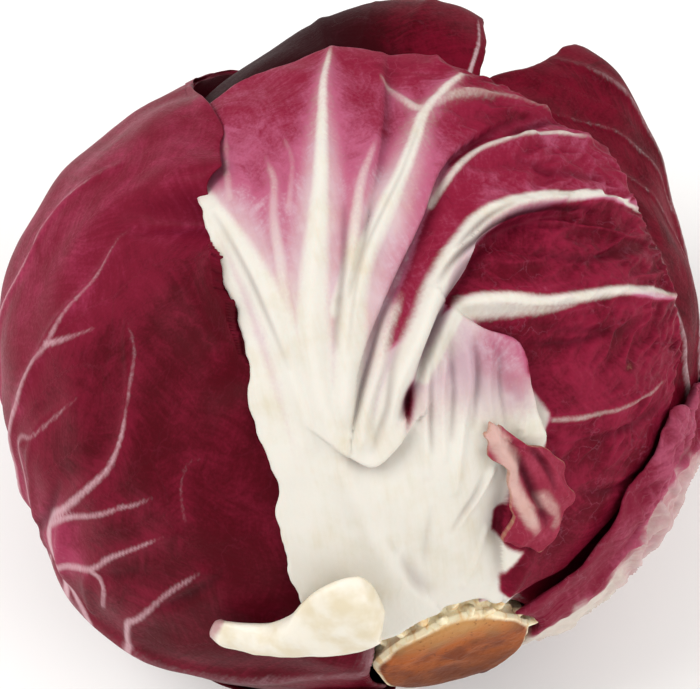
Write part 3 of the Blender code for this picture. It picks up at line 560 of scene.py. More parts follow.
def smooth_line(points, steps=5):
    """A few given points joined by a rounded line."""
    p = np.array(points, float)
    p = np.vstack((2 * p[0] - p[1], p, 2 * p[-1] - p[-2]))
    line = []
    for i in range(1, len(p) - 2):
        for k in np.linspace(0, 1, steps, endpoint=False):
            a = 2 * p[i] + (p[i + 1] - p[i - 1]) * k
            b = (2 * p[i - 1] - 5 * p[i] + 4 * p[i + 1] - p[i + 2]) * k * k
            c = (3 * p[i] - p[i - 1] - 3 * p[i + 1] + p[i + 2]) * k ** 3
            line.append((a + b + c) / 2)
    return np.array(line + [p[-2]])


def line_distance(s, t, points, reach=1e3):
    """Distance in degrees to a rounded line, share of its length, side (1 left) and way off it."""
    line = smooth_line(points)
    low, high = line.min(axis=0) - 1.6 * reach, line.max(axis=0) + 1.6 * reach
    near = (s > low[0]) & (s < high[0]) & (t > low[1]) & (t < high[1])
    a, b = s[near], t[near]
    squeeze = np.cos(np.radians(b))
    best, share, side = np.full(a.shape, FAR), np.zeros(a.shape), np.ones(a.shape)
    off_s, off_t = np.zeros(a.shape), np.zeros(a.shape)
    lengths = np.linalg.norm(np.diff(line, axis=0), axis=1)
    before = 0.0
    for (s0, t0), (s1, t1), length in zip(line[:-1], line[1:], lengths):
        ds, dt = (s1 - s0) * squeeze, t1 - t0
        qs, qt = (a - s0) * squeeze, b - t0
        k = np.clip((qs * ds + qt * dt) / (ds * ds + dt * dt + 1e-9), 0, 1)
        rs, rt = qs - k * ds, qt - k * dt
        distance = np.hypot(rs, rt)
        nearer = distance < best
        best = np.where(nearer, distance, best)
        share = np.where(nearer, (before + k * length) / lengths.sum(), share)
        side = np.where(nearer, np.where(ds * qt - dt * qs > 0, 1.0, -1.0), side)
        off_s, off_t = np.where(nearer, rs, off_s), np.where(nearer, rt, off_t)
        before += length
    whole = []
    for part, empty in ((best, FAR), (share, 0.0), (side, 1.0), (off_s, 0.0), (off_t, 0.0)):
        filled = np.full(s.shape, empty)
        filled[near] = part
        whole.append(filled)
    return whole[0], whole[1], whole[2], np.stack(whole[3:], -1) / (whole[0] + 1e-6)[..., None]


def raised_ribs(s, t, ribs, crispness=1.0):
    """Rounded ridges of the ribs, in metres; crisp ones rise out of the sheet at their start."""
    raised = np.zeros(s.shape)
    for points, height, width, end_height, end_width in ribs:
        distance, share = line_distance(s, t, points, 3 * width)[:2]
        start = smooth(0, 0.12, share) if crispness < 1 else 1.0
        near = bell(distance, between(width, end_width, share) * crispness)
        raised = np.maximum(raised, between(height, end_height, share) * start * MM * near)
    return raised


def slitted(s, t, slits):
    """Depth in metres of the narrow slits, which close up towards their ends, and the painted shade in them.
    """
    deep, dark = np.zeros(s.shape), np.zeros(s.shape)
    for points, depth, width, end_depth, end_width, strength in slits:
        distance, share = line_distance(s, t, points, 3 * width)[:2]
        near = bell(distance, between(width, end_width, share)) * arched(share, 0, 0.6)
        deep = np.maximum(deep, between(depth, end_depth, share) * MM * near)
        dark = np.maximum(dark, strength * near)
    return deep, dark


def folded(s, t, creases, rounding):
    """Creases in metres: the sheet stands high on one side of each line and low on the other."""
    folds = np.zeros(s.shape)
    for points, high, low, reach, high_side in creases:
        distance, share, side = line_distance(s, t, points, 3 * reach)[:3]
        near = bell(distance, reach, 1.5) * arched(share, 0.04, 0.5)
        folds = folds + (stepped(distance, side, high_side, rounding) * (high + low) - low) * near * MM
    return folds


def puckered(s, t, height, pitch, phase):
    """Soft puckers of the lamina between the veins, in metres."""
    along = np.radians(360 * s / pitch)
    across = np.radians(360 * t / pitch)
    rows = np.sin(along + 0.7 * phase + 1.3 * np.sin(0.56 * across))
    columns = np.sin(1.25 * across + 1.22 * phase + 1.1 * np.sin(0.72 * along))
    return height * MM * rows * columns


def base_start(t, midrib, wanted):
    """Where a leaf may start along s so that it clears the stump."""
    s = np.array(wanted, float)
    axis = unit(np.array((STUMP_TILT[0], -STUMP_END, STUMP_TILT[2])))
    for _ in range(BASE_STEPS):
        place = leaf_direction(s, t, midrib) * BASE_RING_RADIUS
        off = np.linalg.norm(np.cross(place, axis), axis=-1)
        s = np.where(off < STUMP_RADIUS + STUMP_CLEARANCE, s + BASE_STEP, s)
    return s


def leaf_layout(leaf, u, v, even=1.0):
    """Leaf angles s and t at shares u across and v along, with the waved margins."""
    left, right = curve(leaf["left"], v), curve(leaf["right"], v)
    for amplitude, waves, phase in leaf.get("ragged", ()):
        left = left + even * amplitude * np.sin(2 * np.pi * (waves * v + phase))
        right = right + even * amplitude * np.sin(2 * np.pi * (waves * 0.9 * v + phase + 0.3))
    t = left[:, None] + (right - left)[:, None] * u[None, :]
    tip = curve(leaf["tip"], u)
    for amplitude, waves, phase in leaf.get("ragged_tip", ()):
        tip = tip + amplitude * np.sin(2 * np.pi * (waves * u + phase))
    base = base_start(t[0], leaf["midrib"], curve(leaf["base"], u))
    spacing = v ** leaf.get("crowding", 1.0)
    return base[None, :] + spacing[:, None] * (tip - base)[None, :], t


def nibbled(leaf, s, t, u, v):
    """The layout again, its free margins moved, waved and nicked as finely as the real ones."""
    u, v = u[None, :], v[:, None]
    tuck, draw, trim, tip_trim = (curve(leaf.get(key, UNCHANGED), x) for key, x in (
        ("tuck", v), ("draw", v), ("trim", u), ("tip_trim", u)))
    t = t + tuck * smooth(0.88, 1.0, u) + draw * smooth(0.14, 0.0, u)
    s = s + trim * smooth(0.14, 0.0, v) + tip_trim * smooth(0.80, 1.0, v)
    wave, nick = leaf.get("nibble", NIBBLE)
    place = triples(s, t)
    shift = wave * rumple(place, 7.0, 41, 2) + nick * rumple(place, 2.2, 42, 2)
    outwards = smooth(0.90, 1.0, u) - smooth(0.10, 0.0, u)
    return s + shift * smooth(0.93, 1.0, v), t + np.roll(shift, 3, 0) * outwards * smooth(0.0, 0.06, v)


def refining(coarse, fine):
    """Weights that pass a smooth curve through evenly spaced values, sampled at finer shares."""
    weights = np.zeros((len(fine), coarse + 1))
    at = fine * coarse
    first = np.clip(np.floor(at).astype(int), 0, coarse - 1)
    k = at - first
    parts = (((2 - k) * k - 1) * k / 2, ((3 * k - 5) * k * k + 2) / 2,
             ((4 - 3 * k) * k + 1) * k / 2, (k - 1) * k * k / 2)
    for step, part in zip((-1, 0, 1, 2), parts):
        np.add.at(weights, (np.arange(len(fine)), np.clip(first + step, 0, coarse)), part)
    return weights


def filled_in(values):
    """Missing values taken from the nearest corners that have one."""
    while np.isnan(values).any():
        padded = np.pad(values, 1, constant_values=np.nan)
        around = np.stack((padded[:-2, 1:-1], padded[2:, 1:-1], padded[1:-1, :-2], padded[1:-1, 2:]))
        known = ~np.isnan(around)
        mean = np.where(known, around, 0).sum(axis=0) / np.maximum(known.sum(axis=0), 1)
        values = np.where(np.isnan(values) & known.any(axis=0), mean, values)
    return values


def solid_sheet(leaf):
    """Outer and inner distances of the leaf's solid at its own corners."""
    u, v = np.linspace(0, 1, leaf["across"] + 1), np.linspace(0, 1, leaf["along"] + 1)
    s, t = leaf_layout(leaf, np.clip(u, INSET_ACROSS, 1 - INSET_ACROSS),
                       np.clip(v, INSET_ALONG, 1 - INSET_ALONG))
    direction = leaf_direction(s, t, leaf["midrib"])
    tree = tree_of(leaf["name"])
    outer = filled_in(solid_radius(tree, direction))
    inner = filled_in(solid_radius(tree, direction, outside=False))
    ribs = raised_ribs(s, t, leaf["ribs"])
    folds = folded(s, t, leaf.get("creases", ()), CAD_FOLD_ROUNDING)
    folds = folds + puckered(s, t, *leaf["puckers"])
    return outer - ribs - folds, inner - folds


def leaf_faces(rows, columns):
    """Faces of a leaf: a fine outer side, an inner side of half as many cells, and its rim."""
    faces = []
    wide, half = columns + 1, columns // 2 + 1
    inside = (rows + 1) * wide
    for j in range(rows):
        for i in range(columns):
            a = j * wide + i
            faces.append((a, a + 1, a + wide + 1, a + wide))
    for j in range(rows // 2):
        for i in range(columns // 2):
            a = inside + j * half + i
            faces.append((a, a + half, a + half + 1, a + 1))
    corners = [(0, i) for i in range(0, columns, 2)] + [(j, columns) for j in range(0, rows, 2)]
    corners += [(rows, i) for i in range(columns, 0, -2)] + [(j, 0) for j in range(rows, 0, -2)]
    for (j, i), (n, m) in zip(corners, corners[1:] + corners[:1]):
        a, c = j * wide + i, n * wide + m
        b = (j + n) // 2 * wide + (i + m) // 2
        d, e = inside + j // 2 * half + i // 2, inside + n // 2 * half + m // 2
        faces += [(b, a, d), (b, d, e), (c, b, e)]
    return faces


def feathering(s, t, lines):
    """Coordinates in mm that run along the nearest rib and slant away from it."""
    nearest = np.full(s.shape, FAR)
    place = triples(s, t)
    for number, (points, *_) in enumerate(lines):
        distance, share, side = line_distance(s, t, points, 12)[:3]
        length = np.linalg.norm(np.diff(np.array(points, float), axis=0), axis=1).sum()
        slanted = triples(share * length + 0.9 * distance, 0.16 * distance * side, 5.0 * number)
        place = np.where((distance < nearest)[..., None], slanted, place)
        nearest = np.minimum(nearest, distance)
    return place * DEGREE_MM


def whitened(s, t, lines):
    """How white the flesh is along the ribs, fading off their sides."""
    white = np.zeros(s.shape)
    for points, half, end_half, strength, end_strength in lines:
        distance, share = line_distance(s, t, points, 4 * max(half, end_half))[:2]
        power = between(strength, end_strength, share) * (0.5 + 0.5 * smooth(1.0, 0.9, share))
        off = distance / between(half, end_half, share)
        white = np.maximum(white, power * (1 - smooth(0.2, 2.2, off)))
    return white


def plain_colours(leaf, s, t):
    """Marks of a plain leaf: white foot and ribs on an even depth of red."""
    foot = 1 - smooth(*leaf["white_foot"], s + 0.25 * np.abs(t))
    flesh = np.maximum(foot, whitened(s, t, leaf["white"]))
    wine = leaf["wine"] + 0.05 * rumple(triples(s, t), 18, 51, 2)
    return {"flesh": flesh, "wine": wine, "dry": 0 * s, "crease": 0 * s}


def capped(radius, direction, start, covers):
    """The sheet pressed under the solids of the leaves that lie over it."""
    flat, low = radius.ravel().copy(), start.ravel()
    middle = Vector(HEAD_CENTRE)
    for name in covers:
        tree = tree_of(name)
        for i, ray in enumerate(direction.reshape(-1, 3)):
            ray = Vector(ray)
            place, facing = tree.ray_cast(middle + ray * low[i], ray, COVER_REACH)[:2]
            if place is not None and facing.dot(ray) < 0:
                flat[i] = min(flat[i], (place - middle).length - UNDER_GAP)
    return flat.reshape(radius.shape)


def wrinkled(leaf, s, t):
    """Sharp little ridges where the blade has slumped and crumpled, from 0 to 1."""
    ridges = np.zeros(s.shape)
    for size_s, size_t, slant, start, end, seed in leaf.get("wrinkles", ()):
        place = triples((s + slant * t) / size_s, t / size_t, 3.1 * seed)
        lines = 1 - np.minimum(np.abs(rumple(place, 1.0, seed, 3)) * 2.6, 1)
        ridges = np.maximum(ridges, lines * smooth(start, end, t) * smooth(18, 34, s))
    return ridges


def blade_radii(leaf, s, t, u, v, covers):
    """Outer and inner distances of the fine blade, in metres, and the painted shade in its slits."""
    along, across = refining(leaf["along"], v), refining(leaf["across"], u)
    outer, inner = (along @ sheet @ across.T for sheet in solid_sheet(leaf))
    direction = leaf_direction(s, t, leaf["midrib"])
    creases = leaf.get("creases", ())
    sharp, soft = (folded(s, t, creases, rounding) for rounding in (FOLD_ROUNDING, CAD_FOLD_ROUNDING))
    puckers = puckered(s, t, *leaf["puckers"])
    lift = curve(leaf.get("lift", UNCHANGED), v)[:, None] * smooth(0.86, 1.0, u)[None, :] * MM
    start = outer + soft + puckers + np.minimum(lift, 0) - UNDER_SHEET
    height, size, seed = leaf["crumple"]
    fine = height * rumple(direction * CRUMPLE_RADIUS, size, seed, 4) * MM
    ribs = raised_ribs(s, t, leaf["ribs"] + leaf.get("veins", ()), RIB_CRISPNESS)
    depth, dark = slitted(s, t, leaf.get("slits", ()))
    ridges = leaf.get("wrinkle_mm", 0) * MM * wrinkled(leaf, s, t)
    outer = outer + sharp + puckers + ribs + fine - depth + ridges + lift
    return capped(outer, direction, start, covers), inner + soft + puckers + lift, dark


def cells_inside(rows, columns):
    """How many cells each corner lies from the nearest margin."""
    row, column = np.arange(rows)[:, None], np.arange(columns)[None, :]
    return np.minimum(np.minimum(row, rows - 1 - row), np.minimum(column, columns - 1 - column))


def thin_rimmed(outer, inner):
    """The two faces of a blade drawn together at its margins, and never closer than its edge."""
    rim = np.sqrt(np.clip((cells_inside(*outer.shape) + 0.35) / RIM_CELLS, 0, 1))
    thick = np.maximum(outer - inner, BLADE_EDGE)
    middle = outer - np.minimum(thick, 2 * BLADE_EDGE) / 2
    outer = middle + (outer - middle) * rim
    return outer, np.where(rim < 1, middle - BLADE_EDGE / 2 * rim, np.minimum(inner, outer - BLADE_EDGE))


def rolled_over(s, t, creases, lips):
    """Leaf angles of the outer face, where the lips of the folds roll over their low side."""
    lip_s, lip_t = 0 * s, 0 * t
    for (points, *_, high_side), amount in zip(creases, lips):
        distance, share, side, off = line_distance(s, t, points, 4)
        over = stepped(distance, side, high_side, FOLD_ROUNDING)
        push = amount * over ** 2 * bell(distance, 2.0) * arched(share, 0.03, 0.5)
        way = -off * (side * high_side)[..., None]
        lip_s, lip_t = lip_s + way[..., 0] * push, lip_t + way[..., 1] * push
    return s + lip_s, t + lip_t


def shaded_folds(s, t, creases):
    """Painted shade on the low side of each fold line, under the fold that stands over it."""
    dark = np.zeros(s.shape)
    for points, _, low, _, high_side in creases:
        distance, share, side = line_distance(s, t, points, 6)[:3]
        hidden = np.where(side * high_side < 0, bell(distance, 1.6), 0)
        dark = np.maximum(dark, 0.25 * min(low, 2.4) * hidden * arched(share, 0.04, 1))
    return dark


def both_faces(outer, inner):
    """Values at a leaf's outer corners, then at its inner ones, which are half as many."""
    return np.concatenate([part.reshape(-1, *outer.shape[2:]) for part in (outer, inner[::2, ::2])])


def build_leaf(leaf, finish, covers=(), colours=plain_colours):
    """A leaf laid where its solid lies, with its fine veins, folds, crumples and thin rim."""
    rows, columns = leaf["fine"]
    u, v = np.linspace(0, 1, columns + 1), np.linspace(0, 1, rows + 1)
    s, t = nibbled(leaf, *leaf_layout(leaf, u, v, leaf.get("even_waves", 1.0)), u, v)
    outer, inner, dark = blade_radii(leaf, s, t, u, v, covers)
    outer, inner = thin_rimmed(outer, inner)
    creases = leaf.get("creases", ())
    over = rolled_over(s, t, creases, leaf.get("lips", ()))
    outer = HEAD_CENTRE + leaf_direction(*over, leaf["midrib"]) * outer[..., None]
    inner = HEAD_CENTRE + leaf_direction(s, t, leaf["midrib"]) * inner[..., None]
    outer[..., 2] = np.maximum(outer[..., 2], 0.0)

    marks = colours(leaf, s, t)
    # painted shade in the slits and on the low side of the folds
    dark = np.maximum(dark, shaded_folds(s, t, creases))
    marks["crease"] = np.maximum(marks["crease"], dark)
    marks["grain"] = triples(s, t, 10.0 * leaf["crumple"][2]) * DEGREE_MM
    marks["feather"] = feathering(s, t, leaf["white"])
    marks = {name: both_faces(mark, mark) for name, mark in marks.items()}
    return mesh_piece(leaf["name"] + "_skin", both_faces(outer, inner), leaf_faces(rows, columns), marks,
                      finish, leaf["name"])


deep_skin = leaf_skin("deep_red_leaf_skin", DEEP_LEAF, shine=0.02)
build_leaf(BACK_LEAF, deep_skin,
           ("right_leaf", "left_leaf", "bottom_leaf", "lower_right_leaf"))


# ---------------------------------------------------------------- top leaf
# The last inner leaf over the top of the head.  Its dark tip stands up behind the front leaf
# as a rounded hood, with a thin pale vein near its right edge.

TOP_LEAF = {
    "name": "top_leaf", "midrib": 0, "across": 16, "along": 18, "crowding": 0.8, "fine": (160, 180),
    "left": ((0, -12), (0.3, -22), (0.7, -30), (1, -30)),
    "right": ((0, 14), (0.3, 26), (0.7, 31), (0.85, 35), (1, 36)),
    "base": ((0, 8), (0.5, 3), (1, 8)),
    "tip": ((0, 142), (0.3, 151), (0.55, 152), (0.8, 151), (0.93, 150), (1, 146)),
    "puckers": (0.35, 32, 1),
    "ribs": (
        (((20, 0), (60, 1), (100, 3), (146, 8)), 1.0, 3.0, 0.5, 1.6),
        (((100, 3), (120, 16), (146, 27)), 0.7, 1.8, 0.4, 1.4),
    ),
    "ragged_tip": ((0.5, 3, 0.1),),
    "veins": (
        (((112, 29), (119, 30.5), (126, 32.5), (133, 34), (142, 34.5)), 0.4, 0.6, 0.2, 0.5),
        (((118, 6), (134, 14), (148, 18)), 0.25, 0.8, 0.15, 0.6),
    ),
    "white": (
        (((8, 0), (60, 1), (100, 3), (120, 5)), 5.0, 0.6, 1.0, 0.1),
        (((112, 29), (119, 30.5), (126, 32.5), (133, 34), (142, 34.5)), 0.45, 0.25, 0.7, 0.4),
    ),
    "white_foot": (20, 60), "wine": 1.12, "crumple": (0.25, 12.0, 6),
}


def top_colours(leaf, s, t):
    """Almost black red in the middle and left, partly painted shade under the front leaf's margin; redder to
    the right, and painted lighter at the raised tip.
    """
    marks = plain_colours(leaf, s, t)
    # its red deepens to the left, partly painted shade, and the raised tip is painted a little lighter
    marks["wine"] += -0.30 * smooth(4, 32, t) - 0.06 * smooth(142, 152, s)
    # painted shadow over its left part, under the front leaf's margin
    marks["crease"] = 0.80 * (1 - smooth(6, 26, t))
    return marks


build_leaf(TOP_LEAF, deep_skin, ("front_leaf", "right_leaf", "left_leaf"), top_colours)


# ---------------------------------------------------------------- right leaf
# A dark maroon leaf that wraps the head's right side; its shoulder rises beside the top leaf
# and the rest shows as a dark band beyond the front leaf's margin.

RIGHT_LEAF = {
    "name": "right_leaf", "midrib": 98, "across": 20, "along": 22, "fine": (200, 220),
    "left": ((0, -14), (0.2, -48), (0.45, -62), (0.75, -66), (0.92, -62), (1, -56)),
    "right": ((0, 12), (0.3, 44), (0.6, 56), (0.85, 50), (1, 30)),
    "base": ((0, 6), (0.5, 3), (1, 6)),
    "tip": ((0, 132), (0.2, 127), (0.4, 126), (0.6, 131), (0.8, 147), (1, 157)),
    "puckers": (0.5, 30, 3),
    "ribs": (
        (((20, 0), (60, -6), (95, -18), (124, -36)), 1.4, 3.2, 0.5, 1.5),
        (((52, -5), (70, -28), (92, -46)), 0.8, 1.8, 0.5, 1.3),
        (((60, -6), (90, 12), (130, 30)), 0.8, 2.0, 0.4, 1.4),
        (((40, -3), (60, 20), (90, 42)), 0.8, 2.0, 0.4, 1.4),
    ),
    "ragged": ((0.7, 5, 0.3),), "ragged_tip": ((0.8, 4, 0.1),),
    "veins": (
        (((92, -16), (104, -34), (112, -50)), 0.35, 0.9, 0.2, 0.6),
        (((80, -11), (91, -28), (97, -44)), 0.35, 0.9, 0.2, 0.6),
        (((96, 14), (112, 34), (120, 44)), 0.3, 0.9, 0.2, 0.7),
    ),
    "white": (
        (((6, 0), (20, 0), (60, -6), (95, -18), (124, -36)), 1.8, 0.5, 0.6, 0.3),
        (((52, -5), (70, -28), (92, -46)), 1.2, 0.4, 0.5, 0.25),
        (((60, -6), (90, 12), (130, 30)), 1.0, 0.4, 0.5, 0.25),
        (((40, -3), (60, 20), (90, 42)), 1.0, 0.4, 0.5, 0.25),
        (((92, -16), (104, -34), (112, -50)), 0.5, 0.3, 0.3, 0.2),
        (((80, -11), (91, -28), (97, -44)), 0.5, 0.3, 0.35, 0.2),
    ),
    "white_foot": (6, 18), "wine": 0.84, "crumple": (0.35, 10.0, 7),
}
build_leaf(RIGHT_LEAF, deep_skin,
           ("front_leaf", "left_leaf", "lower_right_leaf", "bottom_leaf"))


# ---------------------------------------------------------------- front leaf
# The broad leaf on top of the head, opened flat at its white foot.  Five ribs fan out of the
# foot, and its right half has slumped into three overlapping pleats with a rib on each.

FRONT_LEAF = {
    "name": "front_leaf", "midrib": 0, "across": 34, "along": 38, "fine": (300, 240),
    "left": ((0, -17), (0.04, -23), (0.3, -24.5), (0.74, -25), (0.81, -25), (0.87, -28), (1, -28)),
    "right": ((0, 20), (0.06, 33), (0.15, 45), (0.25, 54), (0.42, 59), (0.75, 57), (1, 54)),
    "base": ((0, 6), (0.38, 8), (0.46, 11), (0.55, 12.5), (0.75, 11.5), (1, 10)),
    "tip": ((0, 125), (0.2, 126), (0.35, 126.5), (0.55, 122), (0.7, 115), (0.85, 106), (1, 101)),
    "puckers": (0.35, 22, 4),
    "ribs": (
        (((48, -16), (61, -18), (72, -19), (84, -21), (94, -23)), 0.9, 1.8, 0.4, 1.4),
        (((18, -7), (40, -12), (56, -14), (68, -13), (85, -7), (97, -3), (125, 6)), 1.6, 3.2, 0.7, 1.4),
        (((80, -15), (88, -14), (95, -12), (101, -12)), 0.6, 1.5, 0.3, 1.3),
        (((69, -8), (76, -4), (83, -1), (90, 2), (98, 7)), 1.2, 1.8, 0.4, 1.3),
        (((46, -13), (53, -11), (68, -6), (82, 3), (96, 13), (103, 17), (112, 26)), 2.2, 2.6, 0.8, 1.8),
        (((45, -10), (51, -8), (58, -4), (64, -1), (69, 3)), 2.0, 1.8, 0.6, 1.3),
        (((44, -6), (53, -3), (61, 3), (68, 8), (75, 15), (80, 27), (82, 43), (80, 56)), 2.8, 2.0, 0.8, 1.6),
        (((86, 15), (93, 23), (98, 37), (100, 48)), 1.5, 1.8, 0.8, 1.5),
        (((46, 2), (53, 3), (61, 8), (65, 13), (62, 26), (60, 42), (53, 58)), 1.6, 1.8, 0.8, 1.4),
        (((24, 14), (40, 12), (52, 8)), 0.8, 2.0, 0.4, 1.6),
    ),
    "creases": (
        (((50, -10), (59, -7), (69, 0), (81, 10), (92, 18), (102, 33), (106, 42)), 0.6, 2.6, 4.0, -1),
        (((50, -1), (62, 6), (71, 15), (76, 19), (79, 30), (79, 42)), 0.8, 3.0, 4.0, -1),
        (((65, 11), (60, 15), (56, 20), (47, 20), (36, 21)), 1.2, 2.6, 4.5, 1),
        (((40, 16), (32, 13), (25, 11), (14, 9)), 0.8, 1.8, 4.5, -1),
        (((48, -14), (45, -11), (43, -8), (45, -4), (48, 0)), 1.8, 1.6, 3.0, -1),
        (((85, 2), (96, 7), (107, 11), (122, 15)), 0.3, 1.4, 4.0, -1),
        (((27, -7), (21, -5), (15, -2)), 0.5, 1.0, 3.0, 1),
    ),
    "ragged": ((0.5, 11, 0.0), (0.4, 17, 0.3)), "ragged_tip": ((0.7, 5, 0.2),),
    "nibble": (0.3, 0.3), "even_waves": 0.35,
    "draw": ((0, 4.2), (0.08, 5.0), (0.14, 4.5), (0.20, 2.4), (0.26, 0.2), (0.31, 0.8), (0.40, -1.0),
             (0.50, 0.6), (0.60, 0.3), (0.70, -0.5), (0.80, -0.4), (0.85, 0), (1, 0)),
    "veins": (
        (((89, -11), (98, -8), (104, -8)), 0.3, 0.7, 0.1, 0.5),
        (((95, -20), (102, -19), (113, -17)), 0.3, 0.8, 0.15, 0.6),
        (((103, 17), (108, 14), (114, 12)), 0.5, 0.9, 0.2, 0.6),
        (((104, 18), (107, 24), (108, 34), (106, 44)), 0.5, 1.0, 0.3, 0.7),
        (((40, 24), (39, 30), (37, 37), (35, 49)), 0.35, 0.8, 0.2, 0.6),
        (((29, 40), (27, 30)), 0.3, 0.7, 0.2, 0.6),
        (((54, 3), (47, 1.5), (39, 0)), 1.1, 1.0, 0.3, 0.9),
        (((58, 7.5), (50, 5), (41, 3.4)), 1.2, 0.9, 0.3, 0.8),
        (((60, 11), (52, 10), (44, 7), (35, 4)), 1.2, 1.2, 0.4, 0.9),
        (((58, 15), (50, 13), (41, 12)), 1.1, 1.0, 0.3, 0.8),
        (((52, 18), (46, 17.5), (41, 17)), 0.8, 0.8, 0.3, 0.8),
        (((37, 12), (33, 8), (29, 4)), 0.9, 0.9, 0.3, 0.8),
        (((27, 9), (22, 6), (17, 3)), 0.5, 0.9, 0.3, 0.9),
    ),
    "slits": (
        (((69, 8.5), (72, 12), (75.5, 17), (78, 22), (79.6, 29), (79.8, 38), (79, 44)),
         2.0, 0.55, 0.8, 0.45, 0.95),
        (((74, 13.2), (77, 17), (79.5, 21.5), (80.8, 26)), 0.8, 0.4, 0.5, 0.35, 0.6),
        (((52, 0), (56, 2), (62, 6), (67, 10), (72, 15), (74, 21)), 1.2, 0.8, 1.0, 0.7, 0.7),
        (((49, -2), (51, -1), (53, 0), (55, 1.5)), 2.6, 1.0, 2.0, 0.8, 0.9),
        (((45, -8), (51, -4.5), (57, -2), (62, 1)), 0.9, 0.5, 0.5, 0.5, 0.35),
        (((49, -10.5), (55, -7.5), (62, -3.5), (68, 0)), 0.9, 0.5, 0.8, 0.5, 0.45),
        (((70, -6), (78, -1.2), (83, 1.2), (88, 4)), 0.7, 0.6, 0.5, 0.6, 0.35),
        (((61, -8.5), (76, -2), (90, 9), (103, 17)), 0.35, 0.4, 0.3, 0.35, 0.22),
        (((61, -18), (72, -19.5), (84, -21.5), (94, -23.5)), 0.5, 0.5, 0.4, 0.5, 0.3),
        (((62, -10.2), (70, -7.4), (78, -4.4), (87, -1.8)), 0.7, 0.6, 0.5, 0.6, 0.42),
        (((17, -3), (21, -5), (26, -6.5)), 0.5, 0.6, 0.3, 0.5, 0.3),
        (((22, -3), (28, -2), (34, 0)), 0.4, 0.7, 0.2, 0.6, 0.12),
        (((53, 40), (53, 30), (56, 21)), 0.6, 0.9, 0.5, 0.8, 0.45),
        (((96, 30), (99, 34), (103, 40), (105, 47)), 0.9, 1.0, 0.7, 0.9, 0.55),
        (((57, 5.2), (50, 3), (42, 1.6)), 0.9, 0.6, 0.3, 0.5, 0.34),
        (((61, 9.5), (52, 7.6), (43, 5)), 0.9, 0.7, 0.3, 0.5, 0.38),
        (((60, 13), (53, 12), (44, 9)), 0.9, 0.7, 0.3, 0.6, 0.38),
        (((56, 16.4), (49, 15), (42, 14.5)), 0.8, 0.6, 0.3, 0.5, 0.34),
        (((36, 9.5), (32, 6), (28, 2)), 0.6, 0.6, 0.3, 0.5, 0.25),
        (((92, 30), (88, 38), (89, 50)), 0.6, 0.8, 0.4, 0.8, 0.35),
        (((72, 26), (68, 38), (70, 52)), 0.7, 0.9, 0.4, 0.8, 0.35),
        (((58, 24), (54, 34), (50, 46)), 0.6, 0.9, 0.4, 0.8, 0.30),
        (((36, 26), (32, 38), (30, 50)), 0.7, 0.8, 0.4, 0.8, 0.35),
        (((26, 24), (20, 34), (17, 44)), 0.8, 0.9, 0.4, 0.8, 0.40),
    ),
    "lips": (0.7, 0.9, 0.9, 0.9, 1.0),
    "white": (
        (((50, -17), (61, -17.5), (72, -18.5), (84, -21), (94, -23.5), (101, -25)), 3.6, 1.5, 1.0, 0.95),
        (((40, -22), (60, -24), (72, -24.5), (86, -25), (99, -25.5)), 3.4, 1.2, 1.0, 1.0),
        (((50, -12), (60, -13.5), (72, -14), (80, -13.5)), 3.0, 0.8, 1.0, 0.35),
        (((60, -16), (72, -16), (80, -15), (88, -14), (95, -12), (101, -12)), 1.6, 0.5, 0.8, 0.3),
        (((89, -11), (98, -8), (104, -8)), 0.6, 0.4, 0.35, 0.2),
        (((95, -20), (102, -19), (113, -17)), 0.8, 0.5, 0.4, 0.2),
        (((56, -14.5), (68, -12.5), (78, -9.5), (85, -7), (92, -4.6)), 3.2, 1.3, 1.0, 0.9),
        (((84, -7.3), (92, -4.6), (97, -3), (106, -0.4), (114, 2), (125, 6)), 1.5, 0.35, 1.0, 0.55),
        (((50, -12), (61, -8), (68, -6), (76, -2), (82, 3), (90, 9)), 2.6, 1.4, 1.0, 0.9),
        (((82, 3), (90, 9), (96, 13), (103, 17), (109, 23), (113, 27)), 1.5, 0.45, 1.0, 0.6),
        (((69, -8), (76, -4), (83, -1), (90, 2), (98, 7)), 1.5, 0.5, 0.85, 0.35),
        (((103, 17), (108, 14), (114, 12)), 1.0, 0.4, 0.6, 0.3),
        (((104, 18), (107, 24), (108, 34), (106, 44)), 1.0, 0.5, 0.5, 0.2),
        (((45, -10), (51, -8), (58, -4), (64, -1), (69, 3)), 2.2, 0.9, 1.0, 0.5),
        (((44, -7), (53, -3), (61, 3), (68, 8), (72, 11)), 2.0, 1.35, 1.0, 1.0),
        (((69, 9), (72, 11.2), (75.5, 15), (79.3, 20), (81.4, 27), (82, 34), (82.5, 43), (83, 50), (80, 57)),
         1.2, 0.5, 1.0, 0.8),
        (((55, 3), (61, 9), (64, 12), (65, 15), (64, 20), (62, 26), (61, 33), (60, 42), (57, 53), (52, 59)),
         1.2, 0.45, 1.0, 0.65),
        (((64, 13.5), (63.2, 17), (61.8, 22), (60.4, 28), (59.8, 34)), 1.7, 0.3, 0.95, 0.35),
        (((84, 13), (88, 17), (93, 23), (95, 28), (98, 37), (99, 42), (100, 48)), 0.6, 0.45, 0.7, 0.55),
        (((41, 23), (39, 30), (37, 37), (35, 49)), 0.45, 0.25, 0.42, 0.32),
        (((29, 40), (27, 30)), 0.5, 0.3, 0.3, 0.2),
    ),
    "crumple": (0.22, 9.0, 8), "wrinkle_mm": 0.9,
    "wrinkles": ((6.0, 15.0, 0.15, 14, 24, 91), (5.0, 9.0, -0.5, 20, 34, 92)),
    "trim": ((0, 0), (0.15, 1.5), (0.3, 3.5), (0.42, 3.0), (0.5, 1.0), (0.6, 0), (1, 0)),
}
